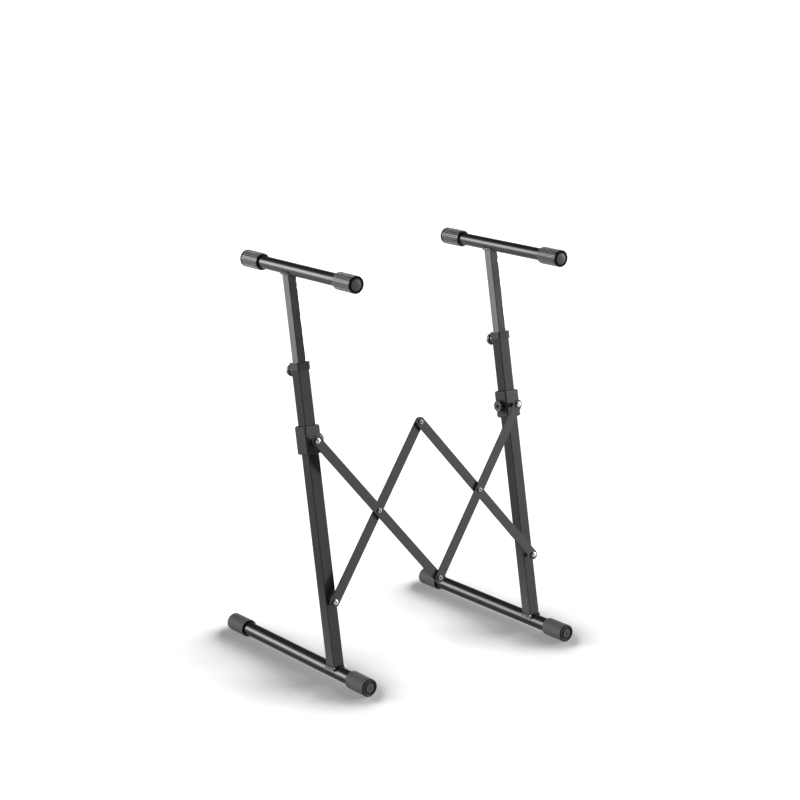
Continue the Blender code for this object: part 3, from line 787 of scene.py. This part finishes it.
def hollow_tube(radius, wall, low, high):
    """Round tube along Z with its outer edges broken."""
    edge, bore = 0.0003, radius - wall
    ends = [(radius - edge, low), (bore, low), (bore, high), (radius - edge, high)]
    return lathe([(radius, high - edge), (radius, low + edge), *ends])


def mouth(outer, bore):
    """A cap's open end at the origin: a thin round lip and a recess round the tube."""
    lip = MOUTH_LIP / 2
    over = bend((outer - lip, lip), lip, 0, -180, 8)
    return [*over, (outer - MOUTH_LIP, MOUTH_DEPTH), (bore, MOUTH_DEPTH)]


def base_cap():
    """Smooth cap, mouth at the origin: thin open lip, round end, sunk ring and a dimple."""
    end = CAP_LENGTH
    outer = BASE_AXIS
    bore = BASE_TUBE_RADIUS + CLEARANCE
    dimple = end - 0.0012
    sunk = end - 0.0016
    end_round, ring_round, disc_round, dimple_round = 0.0026, 0.0006, 0.0008, 0.0005
    profile = [
        (0, dimple),
        (0.0013, dimple),
        *bend((0.0022, end - 0.0006), dimple_round, 180, 90, 3),
        *bend((BASE_CAP_DISC - disc_round, end - 0.0009), disc_round, 90, 0, 4),
        (BASE_CAP_DISC, sunk),
        (BASE_CAP_RING - 0.0003, sunk),
        *bend((BASE_CAP_RING + ring_round, end - ring_round), ring_round, 180, 90, 4),
        *bend((outer - end_round, end - end_round), end_round, 90, 0, 8),
        (outer, end - 0.0032),
        *mouth(outer, bore),
        (bore, end - CAP_END),
        (0, end - CAP_END),
    ]

    def painted_rim_shade(at):
        """Painted shade: the end is darker than the wall, most of all round its edge."""
        reach = hypot(at.x, at.y)
        if at.z < end - 0.003:
            return 0
        if reach < BASE_CAP_DISC + 0.0001:
            return CAP_DISC_SHADE
        return CAP_RING_SHADE if reach < BASE_CAP_RING + 0.0008 else CAP_RIM_SHADE

    return shaded(lathe(profile), painted_rim_shade)


def arm_cap_core():
    """Turned body of a grip cap, mouth at the origin: flared lip, bead and a crowned disc."""
    end = CAP_LENGTH
    bore = ARM_TUBE_RADIUS + CLEARANCE
    wall = ARM_CAP_RADIUS - RIB_HEIGHT * 0.4
    crest = ARM_CAP_RADIUS + RIB_HEIGHT
    bead = (crest - ARM_CAP_BEAD / 2, end - ARM_CAP_BEAD / 2 - 0.0003)
    rise = arc(15, 60, 3)
    crown = [(ARM_CAP_DISC * sin(a), end - 0.0008 + 0.0008 * cos(a * 1.5)) for a in rise]
    profile = [
        (0, end + 0.0001),
        *bend((0, end - 0.0007), 0.0008, 90, 40, 4)[1:],
        *crown,
        (ARM_CAP_DISC - 0.0002, end - 0.0006),
        (ARM_CAP_DISC, end - 0.0011),
        (ARM_CAP_DISC + 0.0006, end - 0.0012),
        *bend(bead, ARM_CAP_BEAD / 2, 150, -60, 12),
        (wall, end - ARM_CAP_BEAD - 0.0008),
        *mouth(wall, bore),
        (bore, end - CAP_END),
        (0, end - CAP_END),
    ]
    return lathe(profile)


def grip_rib():
    """One rib lying along Z on the cap's wall; together they notch the mouth."""
    low, high = 0.0003, CAP_LENGTH - ARM_CAP_BEAD - 0.0003
    half = pi * ARM_CAP_RADIUS / ARM_CAP_RIBS * 0.62
    root = -RIB_HEIGHT * 0.5
    taper = ((low, 0.6), (low + 0.0008, 0.9), (low + 0.002, 1), (high - 0.001, 1), (high, 0.55))
    rings = []
    for height, share in taper:
        crest = root + (RIB_HEIGHT - root) * share
        ring = [(root, -half * share)]
        for a in arc(30, 150, 4):
            ring.append((root + (crest - root) * sin(a) ** 0.8, -half * share * cos(a)))
        ring += [(root, half * share), (root - 0.0003, 0)]
        rings.append([(x, y, height) for x, y in ring])
    return skin(rings)


def arm_cap_shade(at):
    """Painted shade: the bead at the closed end is black, and the disc inside it darker and duller.
    """
    if at.z < CAP_LENGTH - ARM_CAP_BEAD - 0.0002:
        return 0
    on_bead = hypot(at.x, at.y) > ARM_CAP_DISC - 0.0003
    return GRIP_BEAD_SHADE if on_bead else GRIP_DISC_SHADE


def grip_ribs():
    """All the ribs of one arm cap."""
    ridge = linked("grip_rib", grip_rib())
    values = {"Ridge": ridge, "Count": ARM_CAP_RIBS, "Radius": ARM_CAP_RADIUS}
    ribs = patterned(RING, {**values, "Finish": GRIP_RUBBER})
    bpy.data.objects.remove(ridge)
    return ribs


BASE_CAP = base_cap()
RIBS_TURNED = (grip_ribs(), Matrix.Rotation(pi / 2, 4, "Z"))
ARM_CAP = shaded(melded((arm_cap_core(), Matrix()), RIBS_TURNED), arm_cap_shade)


def add_round_tubes(side, x):
    """Base, support arm and the four caps of one side."""
    arm_y = FOOT_Y + ARM_UP * sin(LEAN)
    arm_z = BASE_AXIS + ARM_UP * cos(LEAN)
    inset = CAP_END + CLEARANCE
    base = (FOOT_Y, BASE_AXIS, BASE_FRONT, BASE_REAR, f"{side}_frame")
    arm = (arm_y, arm_z, ARM_FRONT, ARM_REAR, f"{side}_riser")
    tubes = (
        ("base_tube", BASE_TUBE_RADIUS, BASE_TUBE_WALL, *base),
        ("support_arm", ARM_TUBE_RADIUS, ARM_TUBE_WALL, *arm),
    )
    for name, radius, wall, y, z, front, rear, body in tubes:
        at = Matrix.Translation((x, y, z)) @ REARWARD
        tube = placed(hollow_tube(radius, wall, inset - front, rear - inset), at)
        piece(f"{name}_{side}", tube, GLOSS_BLACK, body, "gloss_enamel", f"{side}_{name}")
    caps = (
        ("base_cap", BASE_CAP, BASE_RUBBER, *base),
        ("arm_cap", ARM_CAP, GRIP_RUBBER, *arm),
    )
    for name, mesh, rubber, y, z, front, rear, body in caps:
        for end, turn, way, reach in (("front", FORWARD, -1, front), ("rear", REARWARD, 1, rear)):
            at = Matrix.Translation((x, y + way * (reach - CAP_LENGTH), z)) @ turn
            cap, node = placed(mesh.copy(), at), f"{side}_{name}_{end}"
            piece(f"{name}_{end}_{side}", cap, rubber, body, f"{name}_rubber", node)


# Square tubes, their welds and collars


def seam_mesh(size, level, radius, way, seed, x):
    """Weld ripples on a square tube's two flanks, where they meet a round tube at that level.

    way is 1 for a square tube that stands on the round one and -1 for one that ends under it.
    """
    parts = []
    for flank in (-1, 1):
        across = flank * (size / 2 + WELD_BEAD * 0.15)
        line = bpy.data.curves.new("seam", "CURVE")
        line.dimensions = "3D"
        spline = line.splines.new("POLY")
        spline.points.add(SEAM_POINTS - 1)
        for i, point in enumerate(spline.points):
            y = (i / (SEAM_POINTS - 1) - 0.5) * (size - 0.002)
            up = level + meeting(radius + WELD_BEAD * 0.3, way, across, y) + max(way, 0) * WELD_RISE
            point.co = (*(leaning(x, 0, 0) @ Vector((across, y, up))), 1)
        seam = linked("seam", line)
        values = {"Seam": seam, "Spacing": WELD_SPACING, "Ripple": WELD_BEAD}
        values |= {"Seed": seed + flank, "Finish": WELD}
        parts.append((patterned(SEAM, values), Matrix()))
        bpy.data.objects.remove(seam)
    return melded(*parts)


def add_square_tubes(side, x):
    """Upright, riser and the welds at the foot and under the arm of one side."""
    frame_body, riser_body = f"{side}_frame", f"{side}_riser"
    on_base, under_arm = BASE_TUBE_RADIUS + CLEARANCE, ARM_TUBE_RADIUS + CLEARANCE
    upright = saddled(UPRIGHT_SIZE, UPRIGHT_CORNER, 0, UPRIGHT_TOP, low_round=on_base)
    riser = saddled(RISER_SIZE, RISER_CORNER, RISER_FOOT, ARM_UP, high_round=under_arm)
    tubes = (
        ("upright", upright, SATIN_BLACK, frame_body),
        ("riser", riser, RISER_BLACK, riser_body),
    )
    for name, mesh, finish, body in tubes:
        tube = placed(mesh, leaning(x, 0, 0))
        piece(f"{name}_{side}", tube, finish, body, "satin_coat", f"{side}_{name}")
    welds = (
        ("foot_weld", UPRIGHT_SIZE, 0, BASE_TUBE_RADIUS, 1, 3, frame_body),
        ("arm_weld", RISER_SIZE, ARM_UP, ARM_TUBE_RADIUS, -1, 8, riser_body),
    )
    for name, size, level, radius, way, seed, body in welds:
        seam = seam_mesh(size, level, radius, way, seed, x)
        piece(f"{name}_{side}", seam, WELD, body, "satin_coat")


def height_collar():
    """Moulded clamp on the upright's top, in the leaning frame: skirt, lip, boss and sleeve."""
    shelf = UPRIGHT_TOP + CLEARANCE
    top = shelf + LIP
    low = UPRIGHT_TOP - SKIRT_DEPTH
    outer = square_outline(SKIRT_SIZE, SKIRT_CORNER)
    bore = square_outline(RISER_SIZE + 2 * CLEARANCE, RISER_CORNER + CLEARANCE)
    room = square_outline(SLIDING_SIZE, UPRIGHT_CORNER + CLEARANCE)
    groove = UPRIGHT_TOP - 0.0012
    levels = eased(low, groove, 0.0006, 3, top=False)
    levels += [(0.0003, groove + 0.0002), (0.0003, groove + 0.0007), (0, groove + 0.0009)]
    levels += eased(groove + 0.001, top, 0.0011, 5, bottom=False)[1:]
    skirt = skin(
        stack(outer, levels)
        + stack(bore, [(-0.0004, top), (0, top - 0.0005), (0, shelf)])
        + stack(room, [(0, shelf), (0, low + 0.0004), (-0.0003, low)]),
        looped=True,
    )
    guide = square_outline(UPRIGHT_BORE - 2 * CLEARANCE, 0.001)
    guide_low, guide_high = (0, UPRIGHT_TOP - GUIDE_DEPTH), (0, UPRIGHT_TOP + 0.001)
    sleeve = skin(
        stack(guide, [guide_low, guide_high]) + stack(bore, [guide_high, guide_low]), looped=True
    )
    near = SLIDING_SIZE / 2 + 0.0002
    reach = SLIDING_SIZE / 2 + BOSS_LENGTH
    hole = BOLT_RADIUS + CLEARANCE
    boss_round = 0.0008
    edge = bend((BOSS_RADIUS - boss_round, reach - boss_round), boss_round, 0, 90, 5)
    end = [(hole + 0.0015, reach), (hole + 0.0012, reach - 0.0006), (hole, reach - 0.0006)]
    boss = lathe([(hole, near), (BOSS_RADIUS, near), *edge, *end])
    at_boss = Matrix.Translation((0, 0, HEIGHT_SCREW)) @ REARWARD
    clamp = melded((skirt, Matrix()), (sleeve, Matrix()), (boss, at_boss))
    # painted shadow line: the top of the lip is darkened
    return shaded(clamp, lambda at: CLAMP_TOP_SHADE if at.z > top - 0.0008 else 0)


def tong_collar():
    """Sliding block of the tong, in the leaning frame: chamfered ends, a step in its mouth."""
    low = UPPER_PIVOT - COLLAR_BELOW_PIVOT
    high = low + COLLAR_HEIGHT
    slope = COLLAR_CHAMFER
    soft = 0.0005
    chamfer = [(slope + soft, 0), (slope, soft * 0.3), (soft * 1.2, slope - soft)]
    chamfer += [(soft * 0.3, slope), (0, slope + soft * 1.5)]
    levels = [(inset, low + up) for inset, up in chamfer]
    levels += [(inset, high - down) for inset, down in reversed(chamfer)]
    outer = square_outline(COLLAR_SIZE, COLLAR_CORNER)
    room = square_outline(SLIDING_SIZE, UPRIGHT_CORNER + CLEARANCE)
    step = high - 0.0024
    inner = [(-0.0019, high), (-0.0019, step), (0, step), (0, low + 0.0006), (-0.0005, low)]
    block = skin(stack(outer, levels) + stack(room, inner), looped=True)
    # painted shadow line along the top, where the collar meets the upright
    return shaded(block, lambda at: COLLAR_TOP_SHADE if at.z > high - 0.0004 else 0)


def clamp_knob():
    """Fluted knob on a neck, its seat at the origin: rounded grip, dished face and an eye.

    Painted shade darkens the eye, the neck and the face towards the collar.
    """
    low = KNOB_NECK_LENGTH
    face = low + KNOB_THICKNESS
    eye_floor = face - 0.002

    def disc(radius, levels):
        return stack(fluted_outline(radius, 0, KNOB_FLUTES), levels)

    rings = stack(
        fluted_outline(KNOB_RADIUS, KNOB_FLUTE_DEPTH, KNOB_FLUTES), eased(low, face, 0.0014, 6)
    )
    dish = [(-0.0002, face), (0.0003, face - 0.0004), (0.0012, face - 0.0006)]
    rings += disc(KNOB_RADIUS - 0.0026, dish)
    eye = [(-0.0016, face - 0.0006), (-0.0006, face - 0.0002), (0, face - 0.0003), (0, eye_floor)]
    rings += disc(KNOB_EYE, eye)
    rings += disc(0.0004, [(0, eye_floor), (0, low)])
    rings += disc(KNOB_NECK_RADIUS, [(0, low)])
    grip = skin(rings, looped=True)
    hole = BOLT_RADIUS + CLEARANCE
    middle = face / 2
    foot = [(hole, 0), (KNOB_NECK_RADIUS - 0.0004, 0), (KNOB_NECK_RADIUS, 0.0004)]
    neck = lathe([*foot, (KNOB_NECK_RADIUS, middle), (hole, middle)], BOLT_SIDES)
    spare = 0.0001

    def painted_shade_parts(at):
        reach = hypot(at.x, at.y)
        in_eye = at.z > middle + spare and reach < KNOB_EYE + spare
        on_neck = at.z < middle + spare and reach < KNOB_NECK_RADIUS + spare
        return KNOB_SHADE if in_eye or on_neck or at.z < low + spare else 0

    return shaded(melded((grip, Matrix()), (neck, Matrix())), painted_shade_parts)


HEIGHT_COLLAR = height_collar()
TONG_COLLAR = tong_collar()
KNOB = clamp_knob()


def add_collars(side, x, inward):
    """The two collars of one side and the knobs that clamp them."""
    collars = (
        ("height_collar", HEIGHT_COLLAR, CLAMP_NYLON, f"{side}_frame"),
        ("tong_collar", TONG_COLLAR, COLLAR_NYLON, f"{side}_collar"),
    )
    for name, mesh, finish, body in collars:
        collar = placed(mesh.copy(), leaning(x, 0, 0))
        piece(f"{name}_{side}", collar, finish, body, "collar_nylon", f"{side}_{name}")
    boss_face = SLIDING_SIZE / 2 + BOSS_LENGTH + CLEARANCE
    collar_face = x + inward * (COLLAR_SIZE / 2 + CLEARANCE)
    seats = (
        ("height_knob", leaning(x, -boss_face, HEIGHT_SCREW) @ REARWARD),
        ("width_knob", leaning(collar_face, 0, UPPER_PIVOT) @ sideways(inward)),
    )
    for name, seat in seats:
        knob, node = placed(KNOB.copy(), seat), f"{side}_{name}"
        piece(f"{name}_{side}", knob, KNOB_PLASTIC, node, "knob_plastic", node)


# Flat bars and their fasteners


def add_bar(name, x, up, layer, angle):
    """Flat bar with round ends and eased edges, from its first pivot at x, up."""
    outline = slot_outline(BAR_PIVOTS, BAR_WIDTH / 2)
    bar = skin(stack(outline, eased(layer, layer + BAR_THICKNESS, 0.00045, 4)))
    at = leaning(x, 0, up) @ FORWARD @ Matrix.Rotation(angle, 4, "Z")
    piece(f"{name}_flat", placed(bar, at), BAR_BLACK, name, "bar_coat", name)


def bolt(radius, height, length, socket, depth):
    """Button-head bolt with a hexagon socket; its head stands on the origin."""
    shank = [(BOLT_RADIUS - 0.0006, -length), (BOLT_RADIUS, 0.0006 - length), (BOLT_RADIUS, 0)]
    head = [(radius - 0.0002, 0), (radius, 0.0003)]
    for a in arc(0, 90, 6):
        head.append((radius * (0.58 + 0.42 * cos(a)), height * (0.28 + 0.72 * sin(a))))
    rim = 1.12
    sunk = [(rim, height), (1, height - 0.0002), (1, height - depth)]
    return skin(scaled(circle(BOLT_SIDES), shank + head) + scaled(hexagon(socket * rim), sunk))


def nut(thickness):
    """Hexagon nut with chamfered corners, standing on the origin."""
    corners = hexagon(NUT_RADIUS)
    flat = NUT_RADIUS * cos(pi / 6)
    bore = BOLT_RADIUS + CLEARANCE
    bevel, edge = 0.0004, 0.0002
    lift = [(hypot(x, y) - flat) * 0.55 + edge for x, y in corners]
    turn = Matrix.Rotation(-pi / BOLT_SIDES, 2)
    points = [tuple(turn @ Vector(point)) for point in circle(BOLT_SIDES)]
    return skin(
        [
            *scaled(points, [(bore + bevel, 0), (flat - edge, 0)]),
            [(x, y, drop) for (x, y), drop in zip(corners, lift)],
            [(x, y, thickness - drop) for (x, y), drop in zip(corners, lift)],
            *scaled(points, [(flat - edge, thickness), (bore + bevel, thickness)]),
            *scaled(points, [(bore, thickness - bevel), (bore, bevel)]),
        ],
        looped=True,
    )


def washer(radius, thickness):
    bore = BOLT_RADIUS + CLEARANCE
    edge = thickness * 0.25
    under = [(bore, 0), (radius - edge, 0), (radius, edge)]
    over = [(radius, thickness - edge), (radius - edge, thickness), (bore, thickness)]
    return lathe(under + over, BOLT_SIDES)


def add_fasteners(name, shape, spots, finish, slot, body, nodes, turn=FORWARD):
    """One kind of fastener at each spot of the leaning plane, in one piece for its body."""
    points = bpy.data.meshes.new("pivots")
    points.from_pydata([leaning(*spot).to_translation() for spot in spots], [], [])
    model = linked("fastener", shape)
    facing = (leaning(0, 0, 0) @ turn).to_euler()
    mesh = patterned(PIVOTS, {"Fastener": model, "Turn": facing, "Finish": finish}, points)
    bpy.data.objects.remove(model)
    piece(f"{name}_{body}", mesh, finish, body, slot, *nodes)


def end_fasteners(pivot, x, up, seat, bar_back, tail, body):
    """Bolt, thin nut and spacer that carry a bar's end off a tube or collar."""
    head = bar_back + BAR_THICKNESS + CLEARANCE
    nut_low = seat + CLEARANCE
    low = nut_low + THIN_NUT_THICKNESS + CLEARANCE
    shape = bolt(END_HEAD_RADIUS, END_HEAD_HEIGHT, head + tail, 0.0012, 0.0007)
    spacer = washer(SPACER_RADIUS, bar_back - CLEARANCE - low)
    kinds = (
        ("end_bolt", "bolt", shape, head, *PLATED),
        ("thin_nut", "thin_nut", nut(THIN_NUT_THICKNESS), nut_low, *PLATED),
        ("spacer", "spacer", spacer, low, *PLASTIC),
    )
    for name, kind, shape, forward, finish, slot in kinds:
        add_fasteners(name, shape, [(x, forward, up)], finish, slot, body, [f"{pivot}_{kind}"])


def bar_fasteners(pivots, body):
    """Bolts, washers and nuts of the pivots that a bar carries, as (name, x, up, rear bar)."""
    rear = pivots[0][3]
    head = rear + LAYER + BAR_THICKNESS + CLEARANCE
    nut_low = rear - CLEARANCE - NUT_THICKNESS
    washer_low = rear + BAR_THICKNESS + CLEARANCE
    length = head - nut_low + BOLT_TAIL / 3
    mid_bolt = bolt(MID_HEAD_RADIUS, MID_HEAD_HEIGHT, length, 0.0021, 0.0016)
    kinds = (
        # the mid bolts' heads carry painted shade, darker and rougher than the end bolts
        ("bolt", shaded(mid_bolt, lambda at: MID_BOLT_SHADE), head, *PLATED),
        ("washer", washer(WASHER_RADIUS, WASHER_THICKNESS), washer_low, *PLASTIC),
        ("nut", nut(NUT_THICKNESS), nut_low, *PLATED),
    )
    for kind, shape, forward, finish, slot in kinds:
        spots = [(x, forward, up) for _, x, up, _ in pivots]
        nodes = [f"{name}_{kind}" for name, *_ in pivots]
        add_fasteners(f"pivot_{kind}", shape, spots, finish, slot, body, nodes)


# The whole stand

for side, x, inward, lower_bar, upper_bar in (
    ("left", LEFT, 1, BACK_LAYER, MIDDLE_LAYER),
    ("right", RIGHT, -1, MIDDLE_LAYER, FRONT_LAYER),
):
    frame_body = f"{side}_frame"
    add_round_tubes(side, x)
    add_square_tubes(side, x)
    add_collars(side, x, inward)
    rear_face = UPRIGHT_SIZE / 2 + CLEARANCE
    past_nut = rear_face + NUT_THICKNESS + BOLT_TAIL
    lower = (f"{side}_lower", x, LOWER_PIVOT, UPRIGHT_SIZE / 2)
    end_fasteners(*lower, lower_bar, past_nut, frame_body)
    in_wall = -(SLIDING_SIZE / 2 + CLEARANCE)
    upper = (f"{side}_collar", x, UPPER_PIVOT, COLLAR_SIZE / 2)
    end_fasteners(*upper, upper_bar, in_wall, f"{side}_collar")
    spot = [(x, -rear_face, LOWER_PIVOT)]
    rear_nut, nodes = nut(NUT_THICKNESS), [f"{side}_lower_rear_nut"]
    add_fasteners("rear_nut", rear_nut, spot, *PLATED, frame_body, nodes, REARWARD)

add_bar("bar_a", LEFT, UPPER_PIVOT, MIDDLE_LAYER, -FOLD)
add_bar("bar_b", LEFT, LOWER_PIVOT, BACK_LAYER, FOLD)
add_bar("bar_c", 0, UPPER_PIVOT, MIDDLE_LAYER, -FOLD)
add_bar("bar_d", 0, LOWER_PIVOT, FRONT_LAYER, FOLD)
crossing = ("left_crossing", LEFT / 2, CROSSING, BACK_LAYER)
bar_fasteners([crossing, ("top_middle", 0, UPPER_PIVOT, BACK_LAYER)], "bar_b")
bar_fasteners([("right_crossing", RIGHT / 2, CROSSING, MIDDLE_LAYER)], "bar_c")
bar_fasteners([("bottom_middle", 0, LOWER_PIVOT, MIDDLE_LAYER)], "bar_a")

# CAD nodes that stay as they are get their finishes
for side in ("left", "right"):
    kept_finishes = {"height_screw": ZINC, "width_screw": ZINC, "riser_glide": PLAIN_NYLON}
    for node, finish in kept_finishes.items():
        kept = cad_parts[f"{side}_{node}"].data
        kept.materials.clear()
        kept.materials.append(finish)


# Camera, floor and lights

PICTURE_SIZE = 800

# The floor: its reach, what the camera sees of it and what it throws back on the stand
FLOOR_REACH = 40
FLOOR_DROP = 0.0002
FLOOR_COLOUR = (0.7, 0.7, 0.7)
FLOOR_LIFT = (0.58, 0.58, 0.58)
FLOOR_BOUNCE = (0.3, 0.3, 0.3)
NEAR_BOUNCE = (0.8, 0.8, 0.8)
BOUNCE_FADE = (0.3, 0.5)

# How light the floor near the stand is in a reflection, and where that fades
NEAR_FLOOR = 0.35
NEAR_FADE = (0.8, 2.4)

# The soft shadow round the stand, and the least light left in it
SHADOW_REACH = 0.2
SHADOW_SAMPLES = 32
MAIN_SHADOW = 3.4
BACK_SHADOW = 1.5
DEEPEST_SHADOW = 0.4

# Where the backdrop ends upwards, and where it starts behind the stand, each as (start, run)
BACKDROP_TOP = (0.02, 0.12)
BACKDROP_START = (-0.35, 0.5)


def add_camera(place, heading, dip, roll, focal):
    """A camera at the photograph's angle; focal is in pixels of the picture."""
    level = cos(dip)
    look = Vector((sin(heading) * level, cos(heading) * level, -sin(dip)))
    lens = bpy.data.cameras.new("camera")
    lens.sensor_width = 36
    lens.lens = focal * lens.sensor_width / PICTURE_SIZE
    camera = linked("camera", lens)
    camera.location = place
    turn = look.to_track_quat("-Z", "Y").to_matrix() @ Matrix.Rotation(roll, 3, "Z")
    camera.rotation_euler = turn.to_euler()
    bpy.context.scene.camera = camera


def camera_sees(net):
    """1 for the camera and for what it sees mirrored or through glass, 0 for plain light."""
    path = net.node("ShaderNodeLightPath")
    return path["Is Camera Ray"], path["Is Glossy Ray"] + path["Is Transmission Ray"]


def add_floor():
    """A wide, plain pale floor that darkens softly round the stand and keeps its shadow."""
    mesh = bpy.data.meshes.new("floor")
    corners = ((-1, -1), (1, -1), (1, 1), (-1, 1))
    points = [(FLOOR_REACH * x, FLOOR_REACH * y, 0) for x, y in corners]
    mesh.from_pydata(points, [], [(0, 1, 2, 3)])
    floor = linked("floor", mesh)
    floor.location.z = -FLOOR_DROP
    paint = Finish("pale_floor", 0.9, level=0.0)
    seen, mirrored = camera_sees(paint)
    shown = (seen + mirrored).clipped()
    away = paint.node("ShaderNodeVectorMath", {"operation": "LENGTH"}, {0: paint.place}, "Value")

    def hidden(x, y):
        """How much of the sky to that side the stand hides."""
        tilt = paint.node("ShaderNodeCombineXYZ", {}, {"X": x, "Y": y, "Z": 0.8})
        sockets = {"Distance": SHADOW_REACH, "Normal": tilt}
        settings = {"samples": SHADOW_SAMPLES}
        return 1 - paint.node("ShaderNodeAmbientOcclusion", settings, sockets, "AO")

    # painted soft shadow from ambient occlusion: the floor darkens where the stand hides the sky
    # from it
    under = 1 - hidden(0.5, 0.35) * MAIN_SHADOW - hidden(-0.5, -0.35) * BACK_SHADOW
    contact = under.clipped(DEEPEST_SHADOW)
    light = paint.between(seen + away.rising(*NEAR_FADE), NEAR_FLOOR, 1.0)
    pale = paint.tint(light * contact, (0, 0, 0), FLOOR_COLOUR)
    thrown = paint.tint(away.rising(*BOUNCE_FADE), NEAR_BOUNCE, FLOOR_BOUNCE)
    paint.wear(paint.mixed(shown, thrown, pale))
    paint.give("Emission Strength", 1.0)
    paint.give("Emission Color", paint.tint(shown * contact, (0, 0, 0), FLOOR_LIFT))
    mesh.materials.append(paint.material)


def add_sun(name, way, strength, angle):
    """A soft sun that shines from way towards the stand."""
    light = bpy.data.lights.new(name, "SUN")
    light.energy = strength
    light.angle = radians(angle)
    turn = Vector(way).to_track_quat("Z", "Y")
    linked(name, light).rotation_euler = turn.to_euler()


def add_world(level, ceiling):
    """White to the camera and to reflections of the backdrop behind the stand; else plain."""
    world = bpy.data.worlds.new("studio")
    world.use_nodes = True
    bpy.context.scene.world = world
    net = Net(world.node_tree)
    seen, mirrored = camera_sees(net)
    way = net.node("ShaderNodeTexCoord", output="Generated")
    split = net.node("ShaderNodeSeparateXYZ", {}, {"Vector": way})
    backdrop = (1 - split["Z"].rising(*BACKDROP_TOP)) * split["Y"].rising(*BACKDROP_START)
    plain = level - mirrored * (level - ceiling)
    shown = (seen + mirrored * backdrop).clipped()
    background = world.node_tree.nodes["Background"]
    background.inputs["Color"].default_value = (1, 1, 1, 1)
    net.feed(background.inputs["Strength"], shown * (1 - plain) + plain)


add_camera((-2.51574, -3.20537, 1.49781), heading=0.66452, dip=0.2371, roll=0.01025, focal=2034.1)
add_floor()
add_world(level=0.07, ceiling=0.05)
add_sun("right_softbox", (0.87, -0.44, 0.07), strength=3.1, angle=9)
add_sun("high_softbox", (0.62, -0.1, 0.42), strength=3.1, angle=44)
add_sun("left_softbox", (-0.6, 0.757, 0.21), strength=2.7, angle=30)
bpy.context.scene.view_settings.view_transform = "Standard"
